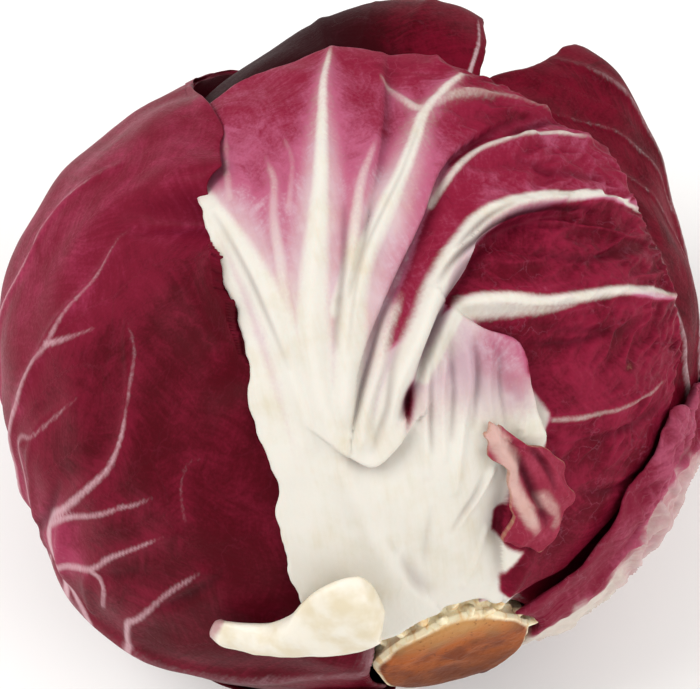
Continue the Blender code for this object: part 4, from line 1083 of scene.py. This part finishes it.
# the three pleats as corners (s, t), with how deep their red is, and the mottled part beside them, which also
# gets painted shade under the overhanging pleat
PLEATS = (
    (((60, -3), (64, -1), (69, 2), (74, 6), (81, 10.5), (89, 17.5), (92, 18.5), (97, 25), (102, 33.5),
      (105, 41), (106, 60), (84, 60), (83, 50), (82, 43), (81, 34), (80, 27), (79, 20), (75, 14),
      (68, 7.5), (62, 2.5)), 0.80),
    (((64, 9), (67, 11), (71, 15), (75, 18.5), (79, 24), (80.4, 30), (81, 40), (81, 60), (52, 60),
      (57, 53), (60, 42), (61, 33), (62, 26), (64, 20), (66, 14)), 0.98),
    (((64, 14), (62, 26), (60, 42), (52, 60), (0, 60), (8, 14), (14, 8), (17, 9), (20, 13), (25, 9),
      (29, 10), (30, 12), (35, 14), (37, 19), (42, 22.5), (47, 21), (51, 19), (56, 19.5), (60, 14.5)), 0.94),
)
MOTTLED_AND_SHADED = ((62, 5), (64, 11), (60, 14.5), (56, 19), (51, 18.5), (47, 19), (44, 21), (43, 12), (46, 8),
           (51, 5))
DARK_SPOT = (44, 40)
POUCH_SLIT = (51, -0.4)


def inside(s, t, corners):
    """Distance in degrees inside an outline, negative outside it."""
    within = np.zeros(s.shape, bool)
    nearest = np.full(s.shape, FAR)
    for (s0, t0), (s1, t1) in zip(corners, corners[1:] + corners[:1]):
        ds, dt = s1 - s0, t1 - t0
        within ^= ((t0 > t) != (t1 > t)) & (s < s0 + (t - t0) * ds / (dt + 1e-9))
        k = np.clip(((s - s0) * ds + (t - t0) * dt) / (ds ** 2 + dt ** 2), 0, 1)
        nearest = np.minimum(nearest, np.hypot(s - s0 - k * ds, t - t0 - k * dt))
    return np.where(within, nearest, -nearest)


def broadened(lines, wider, fainter=1.0, end_fainter=1.0):
    """White lines again, wider and fainter."""
    return [(points, wider * half, wider * end, fainter * power, end_fainter * end_power)
            for points, half, end, power, end_power in lines]


def front_colours(leaf, s, t):
    """White foot running up into the ribs, pink between them, and wine-red pleats."""
    waver = 1.2 * rumple(triples(s, t), 9.0, 61, 3)
    foot = 1 - smooth(42, 68, s + 2 * waver + 0.25 * np.abs(t + 8))
    flesh = np.maximum(foot, 0.12 * (1 - smooth(80, 104, s)))
    wine = 0.36 + 0.10 * smooth(58, 84, s) + 0.22 * smooth(84, 122, s + 0.25 * t)
    wine = wine + 0.30 * smooth(2, 34, t - 0.25 * (s - 96)) * smooth(80, 98, s)

    pleated = np.zeros(s.shape)
    for corners, depth in PLEATS:
        part = smooth(-0.5, 0.9, inside(s + 0.5 * waver, t + 0.5 * waver, corners))
        pleated = np.maximum(pleated, part)
        wine = between(wine, depth, part)
    mottled_and_shaded = smooth(-1.5, 3.5, inside(s, t, MOTTLED_AND_SHADED))
    turned = triples(s + 0.55 * t, t - 0.35 * s, 0.3 * t)
    patches = smooth(-0.5, 0.7, rumple(turned, 5.0, 63, 4)) * smooth(12.5, 17.5, t + 0.12 * (s - 50))
    flesh = flesh * (1 - pleated) * (1 - (0.16 + 0.34 * patches) * mottled_and_shaded)
    wine = np.where(mottled_and_shaded > 0.02, between(wine, 0.12 + 0.18 * patches, mottled_and_shaded), wine)

    # pale halo and soft edge of the ribs, then the ribs themselves
    wine = wine - 0.30 * whitened(s, t, broadened(leaf["white"], 3.2)) * (1 - 0.6 * pleated)
    soft = whitened(s, t, broadened(leaf["white"], 2.4, 0.5, 0.4)) * (1 - pleated)
    ribs = whitened(s, t, leaf["white"]) * (1 - pleated * (1 - smooth(26, 34, s)))
    flesh = np.maximum(flesh, np.maximum(soft, ribs))
    # painted highlight: the ridges of the wrinkles a lighter pink
    wine = wine - 0.14 * wrinkled(leaf, s, t)

    # painted shade: the white flesh turned deep red inside the dark slit by the pouch
    away_s, away_t = s - POUCH_SLIT[0], t - POUCH_SLIT[1]
    torn = np.exp(-(away_s / 3.0) ** 2 - ((away_t - 0.35 * away_s) / 0.8) ** 2)
    flesh, wine = flesh * (1 - torn), wine + torn
    spot = np.exp(-((s - DARK_SPOT[0]) ** 2 + (t - DARK_SPOT[1]) ** 2) / 2.0)
    spot = smooth(0.0, 1.0, spot)
    # painted shade over the mottled part, where the pleat above overhangs it
    shaded = 0.10 * mottled_and_shaded + 0.12 * smooth(0.1, 0.9, mottled_and_shaded) * patches
    return {"flesh": flesh, "wine": wine + 0.2 * spot, "dry": 0.35 * spot, "crease": shaded}


FRONT_TISSUE = {"pale": "c4a6af", "pink": "ae5975", "wine": "821a34", "deep": "580a1a",
                "white": "d7d2c8", "cream": "ccc2ac", "vein": "b5718a"}
front_skin = leaf_skin("red_and_white_leaf_skin", FRONT_TISSUE, vein=0.15, vein_mm=4.5, gloss=0.44,
                       glow=0.18, fringe=0.28)
build_leaf(FRONT_LEAF, front_skin, ("left_leaf", "torn_scrap", "broken_stub"),
           front_colours)


# ---------------------------------------------------------------- left leaf
# The dark outer leaf that wraps the head's whole left side.  Its pinkish-white veins rise from
# the hidden midrib and thin out towards the margin, which tucks under the front leaf.

LEFT_LEAF = {
    "name": "left_leaf", "midrib": -90, "across": 24, "along": 28, "fine": (280, 260),
    "left": ((0, -14), (0.12, -34), (0.3, -52), (0.5, -60), (0.8, -56), (1, -36)),
    "right": ((0, 9), (0.04, 22), (0.072, 38), (0.1, 47), (0.18, 61), (0.26, 66), (0.38, 69.5),
              (0.487, 70), (0.556, 68), (0.6, 61.4), (0.64, 61.8), (0.70, 66), (0.75, 66.5),
              (0.80, 65), (0.86, 61), (0.91, 54), (0.95, 43), (1, 24)),
    "base": ((0, 6), (0.5, 3), (1, 6)),
    "tip": ((0, 158), (0.3, 172), (0.6, 178), (1, 168)),
    "puckers": (0.45, 32, 5),
    "ribs": (
        (((17, -5), (59, -13), (100, -14), (149, -3)), 1.6, 3.2, 0.5, 1.5),
        (((96, -14), (105, 11), (109, 23), (119, 33), (124, 44)), 1.0, 1.8, 0.3, 1.3),
        (((80, -14), (86, 7), (89, 26), (96, 44), (105, 52)), 1.0, 1.8, 0.3, 1.3),
        (((72, -14), (80, 15), (76, 30)), 0.7, 1.6, 0.3, 1.2),
        (((66, -13), (68, 11), (63, 27), (67, 38), (80, 46)), 1.0, 1.8, 0.3, 1.3),
        (((60, -13), (60, 4), (52, 17), (47, 23)), 0.9, 1.8, 0.3, 1.3),
        (((52, -12), (50, 1), (41, 18)), 0.9, 1.8, 0.3, 1.3),
        (((66, -14), (86, -30), (113, -48)), 0.8, 1.8, 0.3, 1.3),
    ),
    "ragged_tip": ((0.8, 5, 0.3),), "nibble": (0.15, 0.12),
    "tuck": ((0, 0), (0.54, 0), (0.60, 4.4), (0.63, 3.8), (0.66, 3.2), (0.69, 2.3), (0.75, -0.9),
             (0.78, -1.6), (0.82, -1.2), (0.87, -1.6), (0.93, -1.9), (1, 0)),
    "tip_trim": ((0, 0), (0.6, 0), (0.82, -7), (1, -7)),
    "lift": ((0, 0), (0.53, 0), (0.56, -2.5), (0.615, -2.5), (0.64, 0), (0.66, 0.8), (0.72, 0.8),
             (0.75, 0), (1, 0)),
    "veins": (
        (((105, 11), (109, 23), (115, 26), (119, 33), (123, 41)), 0.45, 0.7, 0.15, 0.5),
        (((86, 7), (87, 15), (89, 23), (89, 29), (92, 36), (96, 44), (104, 50)), 0.5, 0.8, 0.15, 0.5),
        (((89, 29), (87, 33), (84, 40)), 0.3, 0.6, 0.1, 0.4),
        (((83, 7), (80, 15), (78, 23), (76, 30)), 0.4, 0.6, 0.12, 0.4),
        (((71, 2), (68, 11), (64, 22), (63, 27), (64, 33), (67, 38)), 0.6, 1.0, 0.3, 0.7),
        (((67, 38), (73, 44), (80, 46)), 0.2, 0.5, 0.1, 0.4),
        (((71, 2), (68, 8), (61, 17), (58, 21), (56, 23), (53, 27)), 0.4, 0.6, 0.12, 0.4),
        (((68, -7), (60, 4), (57, 10), (52, 17), (49, 21)), 0.45, 0.7, 0.15, 0.5),
        (((60, 4), (57, 2), (57, -4)), 0.3, 0.6, 0.2, 0.5),
        (((52, -3), (50, 1), (46, 10), (43, 15), (41, 18)), 0.45, 0.7, 0.15, 0.5),
        (((100, -14), (118, -26), (132, -34)), 0.4, 0.9, 0.2, 0.6),
        (((115, -12), (132, -18), (146, -20)), 0.35, 0.8, 0.2, 0.6),
        (((110, -13), (130, -2), (150, 10)), 0.35, 0.8, 0.2, 0.6),
        (((50, -12), (62, -30), (76, -46)), 0.4, 0.9, 0.2, 0.6),
    ),
    "slits": (
        (((76, -9), (72, 3), (71, 15)), 1.0, 1.2, 0.4, 0.8, 0.5),
        (((59, 3), (54, 8), (50, 13)), 0.5, 1.0, 0.2, 0.8, 0.2),
        (((48, 5), (42, 12), (37, 20)), 0.8, 1.0, 0.3, 0.8, 0.4),
    ),
    "white": (
        (((8, -2), (17, -5), (38, -9), (62, -13)), 1.6, 0.9, 0.30, 0.22),
        (((62, -13), (100, -14), (149, -3)), 1.0, 0.5, 0.35, 0.4),
        (((96, -14), (105, 11), (109, 23), (115, 26), (119, 33), (123, 41)), 0.7, 0.22, 0.7, 0.35),
        (((80, -14), (86, 7), (87, 15), (89, 23), (89, 29), (92, 36), (96, 44), (104, 50)),
         0.75, 0.22, 0.75, 0.3),
        (((89, 29), (87, 33), (84, 40)), 0.5, 0.25, 0.6, 0.3),
        (((72, -14), (83, 7), (80, 15), (78, 23), (76, 30)), 0.6, 0.25, 0.6, 0.35),
        (((66, -13), (71, 2), (68, 11), (64, 22), (63, 27), (64, 33), (67, 38)), 0.8, 0.35, 0.8, 0.5),
        (((67, 38), (73, 44), (80, 46)), 0.35, 0.25, 0.4, 0.2),
        (((71, 2), (68, 8), (61, 17), (58, 21), (56, 23), (53, 27)), 0.6, 0.3, 0.7, 0.4),
        (((60, -13), (68, -7), (60, 4), (57, 10), (52, 17), (49, 21)), 0.65, 0.3, 0.7, 0.5),
        (((60, 4), (57, 2), (57, -4)), 0.5, 0.4, 0.6, 0.5),
        (((52, -12), (52, -3), (50, 1), (46, 10), (43, 15), (41, 18)), 0.7, 0.3, 0.7, 0.4),
        (((46, 26), (49, 32), (49, 36), (46, 38)), 0.3, 0.25, 0.3, 0.2),
        (((66, -14), (86, -30), (113, -48)), 1.0, 0.4, 0.8, 0.4),
        (((100, -14), (118, -26), (132, -34)), 0.7, 0.3, 0.6, 0.3),
        (((115, -12), (132, -18), (146, -20)), 0.6, 0.3, 0.5, 0.3),
        (((110, -13), (130, -2), (150, 10)), 0.6, 0.3, 0.5, 0.3),
        (((50, -12), (62, -30), (76, -46)), 0.7, 0.3, 0.6, 0.3),
    ),
    "white_foot": (6, 18), "wine": 0.84, "crumple": (0.28, 12.0, 9),
}


def left_colours(leaf, s, t):
    """Dark wine lamina, a little pinker beside the veins and in the puffed part by the notch, and pinker
    towards its tip half, a painted sheen.
    """
    marks = plain_colours(leaf, s, t)
    beside = whitened(s, t, broadened(leaf["white"], 4.0))
    puffed = np.exp(-((s - 66) / 5) ** 2 - ((t - 2) / 7) ** 2)
    low = np.exp(-((s - 74) / 16) ** 2 - ((t + 2) / 12) ** 2)
    # painted sheen: the red eases towards the tip half
    marks["wine"] += 0.12 - 0.30 * smooth(62, 104, s) - 0.24 * beside - 0.34 * puffed - 0.24 * low
    return marks


LEFT_TISSUE = {"pale": "cf9cab", "pink": "993150", "wine": "6f1429", "deep": "4b0813",
               "white": "cba5ab", "cream": "b98b95", "vein": "8c2f49"}
left_skin = leaf_skin("dark_wine_leaf_skin", LEFT_TISSUE, vein=0.10, vein_mm=8.0, gloss=0.42, fringe=0.35)
build_leaf(LEFT_LEAF, left_skin,
           ("front_leaf", "lower_right_leaf", "bottom_leaf", "broken_stub"), left_colours)


# ---------------------------------------------------------------- lower right leaf
# A small outer leaf low on the right, pulled back: its crumpled pink margin curls over and
# shows the pale, almost white back of the blade.

LOWER_RIGHT_LEAF = {
    "name": "lower_right_leaf", "midrib": 125, "across": 12, "along": 18, "fine": (200, 180),
    "left": ((0, -12), (0.08, -22), (0.22, -38), (0.36, -42), (0.6, -35), (0.85, -26), (1, -12)),
    "right": ((0, 10), (0.2, 24), (0.5, 32), (0.85, 26), (1, 12)),
    "base": ((0, 6), (0.5, 3), (1, 6)),
    "tip": ((0, 96), (0.4, 104), (0.6, 104), (1, 97)),
    "puckers": (0.5, 24, 6),
    "ribs": (
        (((18, 0), (50, -2), (96, 0)), 1.4, 3.2, 0.4, 1.6),
        (((36, -1), (48, -16), (60, -30)), 0.8, 1.8, 0.4, 1.3),
        (((40, -1), (58, 14), (76, 24)), 0.8, 1.8, 0.4, 1.3),
    ),
    "ragged": ((1.0, 5, 0.15), (0.5, 9, 0.4)), "ragged_tip": ((1.0, 3, 0.2),), "nibble": (0.9, 0.5),
    "veins": (
        (((46, -12), (62, -20), (78, -26)), 0.4, 0.9, 0.2, 0.6),
        (((56, -2), (72, -10), (88, -14)), 0.4, 0.9, 0.2, 0.6),
    ),
    "white": (
        (((6, 0), (18, 0), (50, -2), (96, 0)), 6.0, 1.2, 1.0, 0.5),
        (((36, -1), (48, -16), (60, -30)), 1.5, 0.7, 0.8, 0.5),
        (((40, -1), (58, 14), (76, 24)), 1.4, 0.6, 0.7, 0.4),
        (((46, -12), (62, -20), (78, -26)), 0.8, 0.4, 0.5, 0.3),
        (((56, -2), (72, -10), (88, -14)), 0.8, 0.4, 0.5, 0.3),
    ),
    "white_foot": (20, 52), "wine": 0.42, "crumple": (0.75, 7.0, 10), "wrinkle_mm": 1.6,
    "wrinkles": ((9.0, 6.0, 0.6, -70, -40, 93), (6.0, 11.0, -0.4, -60, -36, 94)),
}


def lower_right_colours(leaf, s, t):
    """A red, puckered margin on the pale back of the blade."""
    marks = plain_colours(leaf, s, t)
    margin = curve(leaf["left"], np.linspace(0, 1, len(s)))[:, None]
    red = 1 - smooth(8.0, 14.0, t - margin + 4.0 * rumple(triples(s, t), 6.0, 71, 3))
    pale = smooth(0, 1, 1 - red) * (1 - smooth(20, 44, t + 10))
    marks["flesh"] = np.maximum(marks["flesh"] * (1 - red), 0.50 * pale)
    # painted highlight: lighter red on the ridges of the wrinkles
    marks["wine"] += 0.26 * red - 0.22 * wrinkled(leaf, s, t)
    return marks


PALE_BACK = {"pale": "c4a9ac", "pink": "a04a62", "wine": "74192f", "deep": "4f0d1b",
             "white": "c9beb4", "cream": "b0a198", "vein": "a87886"}
pale_skin = leaf_skin("pale_backed_leaf_skin", PALE_BACK, vein=0.2, vein_mm=4.0, gloss=0.50, glow=0.2)
build_leaf(LOWER_RIGHT_LEAF, pale_skin, ("bottom_leaf",), lower_right_colours)


# ---------------------------------------------------------------- bottom leaf
# The lowest outer leaf, dark and pressed flat where the head's weight rests on it.

BOTTOM_LEAF = {
    "name": "bottom_leaf", "midrib": 186, "across": 16, "along": 20, "fine": (180, 200),
    "left": ((0, -12), (0.2, -28), (0.5, -40), (0.85, -36), (1, -20)),
    "right": ((0, 12), (0.2, 30), (0.5, 42), (0.85, 36), (1, 20)),
    "base": ((0, 6), (0.5, 3), (1, 6)),
    "tip": ((0, 148), (0.3, 160), (0.6, 160), (1, 146)),
    "puckers": (0.4, 33, 7),
    "ribs": (
        (((24, 0), (60, 0)), 1.4, 3.2, 0.9, 2.4),
        (((112, 0), (158, -2)), 0.8, 2.2, 0.4, 1.6),
        (((50, 4), (70, 22), (100, 36)), 0.8, 1.8, 0.4, 1.3),
        (((50, -4), (72, -22), (104, -34)), 0.8, 1.8, 0.4, 1.3),
    ),
    "ragged": ((0.9, 6, 0.25),), "ragged_tip": ((0.9, 5, 0.0),),
    "veins": (
        (((105, 2), (125, 16), (146, 22)), 0.4, 0.9, 0.2, 0.6),
        (((105, -2), (125, -16), (146, -24)), 0.4, 0.9, 0.2, 0.6),
    ),
    "white": (
        (((6, 0), (24, 0), (60, 0), (112, 0), (158, -2)), 3.0, 0.6, 0.9, 0.5),
        (((50, 4), (70, 22), (100, 36)), 1.2, 0.5, 0.7, 0.4),
        (((50, -4), (72, -22), (104, -34)), 1.2, 0.5, 0.7, 0.4),
        (((105, 2), (125, 16), (146, 22)), 0.7, 0.4, 0.5, 0.3),
        (((105, -2), (125, -16), (146, -24)), 0.7, 0.4, 0.5, 0.3),
    ),
    "white_foot": (6, 20), "wine": 0.98, "crumple": (0.30, 11.0, 11),
}
build_leaf(BOTTOM_LEAF, deep_skin)


# ---------------------------------------------------------------- torn scrap
# A leftover corner of a torn-off leaf that clings to the front leaf's foot: a pink curl with a
# pale fold down it and a dry, tan rim.

TORN_SCRAP = {
    "name": "torn_scrap", "midrib": 0, "across": 12, "along": 14, "fine": (140, 120),
    "left": ((0, 14), (0.2, 10), (0.35, 11), (0.5, 12.5), (0.8, 11), (1, 9.5)),
    "right": ((0, 17), (0.2, 21), (0.4, 23), (0.55, 22.5), (0.75, 19), (1, 12)),
    "base": ((0, 21), (0.5, 19.5), (1, 20)),
    "tip": ((0, 43), (0.5, 45), (1, 44)),
    "puckers": (0.6, 11, 8),
    "ribs": ((((44, 11), (38, 13), (33, 13), (25, 15)), 0.7, 1.2, 0.3, 1.0),),
    "ragged": ((0.5, 3, 0.2), (0.3, 5, 0.6)), "ragged_tip": ((0.5, 2, 0.1),), "nibble": (0.5, 0.3),
    "veins": (
        (((43, 12), (40, 17), (34, 20), (29, 21)), 1.0, 0.8, 0.5, 0.6),
        (((31, 14), (27, 18), (24, 19)), 0.8, 0.9, 0.3, 0.6),
    ),
    "slits": (
        (((41, 13.5), (36, 15), (30, 16), (24, 17)), 1.1, 0.8, 0.8, 0.7, 0.75),
        (((40, 16), (36, 18.5), (30, 19.5)), 0.8, 0.6, 0.5, 0.5, 0.55),
    ),
    "white": ((((44, 11), (38, 13), (33, 13), (25, 15)), 1.4, 0.9, 0.9, 0.8),
              (((30, 17), (26, 19), (23, 18)), 1.2, 0.6, 0.6, 0.4)),
    "white_foot": (0, 1), "wine": 0.60, "crumple": (0.55, 4.5, 12),
}


def scrap_colours(leaf, s, t):
    """Pink blade, a pale fold, and a rim dried brown."""
    marks = plain_colours(leaf, s, t)
    marks["dry"] = 0.55 * np.exp(-(cells_inside(*s.shape) / 3.0) ** 2)
    return marks


SCRAP_TISSUE = {"pale": "c4949c", "pink": "a54459", "wine": "832236", "deep": "5c1020",
                "white": "c8a49c", "cream": "b98f84", "vein": "b06a7c"}
scrap_skin = leaf_skin("torn_leaf_skin", SCRAP_TISSUE, vein=0.3, vein_mm=3.0, gloss=0.48, glow=0.2)
build_leaf(TORN_SCRAP, scrap_skin, (), scrap_colours)


# ---------------------------------------------------------------- broken stub
# The snapped-off foot of an outer leaf, beside the stump: crisp cream-white flesh, thick and
# lobed at its root and thinning to a torn, pinkish point.

# along the stub from its torn point: (angle from stem, turn, half thickness mm, half width mm)
STUB_PATH = (
    (38.4, -74, 1.2, 2.0), (36, -74, 1.7, 2.9), (32, -71, 2.0, 3.2), (28.7, -66.5, 2.3, 3.8),
    (26.2, -57.5, 2.6, 5.2), (25, -45.5, 3.0, 7.2), (24.8, -34.5, 3.1, 7.4), (24, -26.5, 1.9, 5.2),
)
STUB_RINGS, STUB_SIDES = 120, 72
# shares of its length over which its torn point and its root round off, and how thin they get
STUB_POINT, STUB_ROOT, STUB_BLUNT = 0.05, 0.07, 0.25
# Crisp leaf foot, white as chicory: a wet sheen, faint ridges, and a blush at its torn point.
STUB_CREAM, STUB_IVORY, STUB_BLUSH = "e3dccd", "d6c9ad", "b08a88"
STUB_PATCH_MM = 5.0


def stub_finish():
    made, tree, shader = new_material("crisp_white_leaf_foot")
    place = add(tree, "TexCoord", output="Object")
    blush = add(tree, "Attribute", output="Fac", attribute_name="blush")
    grain = add(tree, "Attribute", output="Vector", attribute_name="grain")
    soft = add(tree, "TexNoise", {"Vector": place, "Scale": 1 / (STUB_PATCH_MM * MM), "Detail": 3.0})
    fibre = add(tree, "TexNoise", {"Vector": grain, "Scale": 1.3, "Detail": 3.0})
    tone = add(tree, "MapRange", {0: soft, 1: 0.35, 2: 0.68}, **EASED)
    skin = add(tree, "Mix", {0: tone, 6: STUB_CREAM, 7: STUB_IVORY}, **COLOURED)
    pink = add(tree, "Math", {0: soft, 1: 0.8, 2: blush}, operation="MULTIPLY_ADD")
    pink = add(tree, "MapRange", {0: pink, 1: 0.62, 2: 1.25}, **EASED)
    skin = add(tree, "Mix", {0: pink, 6: skin, 7: STUB_BLUSH}, **COLOURED)
    bump = add(tree, "Bump", {"Height": fibre, "Strength": 0.35, "Distance": 0.3 * MM})
    connect(tree, shader, {
        "Base Color": skin, "Normal": bump, "Roughness": 0.42, "Subsurface Weight": 0.25,
        "Subsurface Radius": (1.0, 0.8, 0.6), "Subsurface Scale": 1.5 * MM})
    return made


def build_stub():
    turn_from_stem, turn, thick, wide = np.array(STUB_PATH).T
    theta, turn = np.radians(turn_from_stem), np.radians(turn)
    middle = triples(np.sin(theta) * np.sin(turn), -np.cos(theta), np.sin(theta) * np.cos(turn))
    inset = middle.copy()
    inset[0], inset[-1] = 0.9 * middle[0] + 0.1 * middle[1], 0.9 * middle[-1] + 0.1 * middle[-2]
    tree = tree_of("broken_stub")
    radius = sum(solid_radius(tree, unit(inset), outside) for outside in (True, False)) / 2
    share = np.linspace(0, 1, STUB_RINGS)
    weights = refining(len(middle) - 1, share)
    way = unit(weights @ middle)
    across = unit(np.cross(way, np.gradient(way, axis=0)))

    # one ring of corners for each step along it: round, lobed, and blunt at both ends
    radius, thick, wide = ((weights @ x)[:, None] for x in (radius, thick, wide))
    share = share[:, None]
    ends = np.sqrt(np.clip(np.minimum(share / STUB_POINT, (1 - share) / STUB_ROOT), 0, 1))
    ends = between(STUB_BLUNT, 1.0, ends)
    a = np.linspace(0, 2 * np.pi, STUB_SIDES, endpoint=False)[None, :]
    spread = wide * ends * np.cos(a) * (1 + 0.06 * np.sin(3 * a + 9 * share))
    rise = thick * ends * np.sin(a)
    swell = 0.55 * rumple(triples(45 * share, 3 * np.cos(a), 3 * np.sin(a)), 7.0, 81, 3) * (0.5 + thick / 3.0)
    height = radius + (rise + np.maximum(np.sin(a), 0) * swell) * MM
    points = closed_by_middles(HEAD_CENTRE + way[:, None, :] * height[..., None]
                               + across[:, None, :] * (spread * MM)[..., None])
    blush = np.broadcast_to(1 - smooth(0.02, 0.16, share), height.shape).ravel()
    grain = triples(12 * share, 3 * np.cos(a), 3 * np.sin(a)).reshape(-1, 3)
    marks = {"blush": np.append(blush, (1.0, 0.0)), "grain": np.vstack((grain, np.zeros((2, 3))))}
    return mesh_piece("broken_stub_flesh", points, tube_faces(STUB_RINGS, STUB_SIDES), marks,
                      stub_finish(), "broken_stub")


build_stub()


# ---------------------------------------------------------------- floor, light and camera
# A pale matte table, a broad soft light from the upper left, and a weak fill from the right.

FLOOR_SIDE = 6.0
CAMERA_AZIMUTH, CAMERA_ELEVATION = -16.0, 62.0
CAMERA_DISTANCE = 0.620
LENS_MM, SENSOR_MM = 183.0, 36.0
# lamps: place m, size m, power W
KEY_LIGHT = (-0.55, 0.10, 0.85), 0.60, 5.6
FILL_LIGHT = (0.70, -0.50, 0.60), 0.90, 4.8
SKY_STRENGTH = 0.74


def build_floor():
    half = FLOOR_SIDE / 2
    mesh = bpy.data.meshes.new("table")
    corners = [(-half, -half, 0), (half, -half, 0), (half, half, 0), (-half, half, 0)]
    mesh.from_pydata(corners, [], [(0, 1, 2, 3)])
    made, tree, shader = new_material("matte_white_table")
    place = add(tree, "TexCoord", output="Object")
    tone = add(tree, "TexNoise", {"Vector": place, "Scale": 3.0})
    skin = add(tree, "Mix", {0: tone, 6: "fbfaf8", 7: "f7f6f4"}, **COLOURED)
    connect(tree, shader, {"Base Color": skin, "Roughness": 0.9})
    mesh.materials.append(made)
    table = bpy.data.objects.new("table", mesh)
    bpy.context.scene.collection.objects.link(table)


def soft_light(name, place, size, power):
    """A square studio lamp aimed at the head."""
    lamp = bpy.data.lights.new(name, "AREA")
    lamp.size = size
    lamp.energy = power
    held = bpy.data.objects.new(name, lamp)
    held.location = place
    held.rotation_euler = (Vector(HEAD_CENTRE) - Vector(place)).to_track_quat("-Z", "Y").to_euler()
    bpy.context.scene.collection.objects.link(held)


def build_camera():
    azimuth, elevation = math.radians(CAMERA_AZIMUTH), math.radians(CAMERA_ELEVATION)
    right = Vector((math.cos(azimuth), math.sin(azimuth), 0))
    level = Vector((math.sin(azimuth), -math.cos(azimuth), 0))
    back = level * math.cos(elevation) + Vector((0, 0, math.sin(elevation)))
    lens = bpy.data.cameras.new("camera")
    lens.lens, lens.sensor_width, lens.clip_start = LENS_MM, SENSOR_MM, 0.01
    camera = bpy.data.objects.new("camera", lens)
    turned = Matrix((right, back.cross(right), back)).transposed().to_4x4()
    camera.matrix_world = Matrix.Translation(Vector(HEAD_CENTRE) + back * CAMERA_DISTANCE) @ turned
    bpy.context.scene.collection.objects.link(camera)
    bpy.context.scene.camera = camera


build_floor()
soft_light("key_light", *KEY_LIGHT)
soft_light("fill_light", *FILL_LIGHT)
build_camera()

sky = bpy.data.worlds.new("studio")
sky.use_nodes = True
connect(sky.node_tree, sky.node_tree.nodes["Background"], {"Color": "ffffff", "Strength": SKY_STRENGTH})
bpy.context.scene.world = sky
bpy.context.scene.view_settings.view_transform = "Standard"
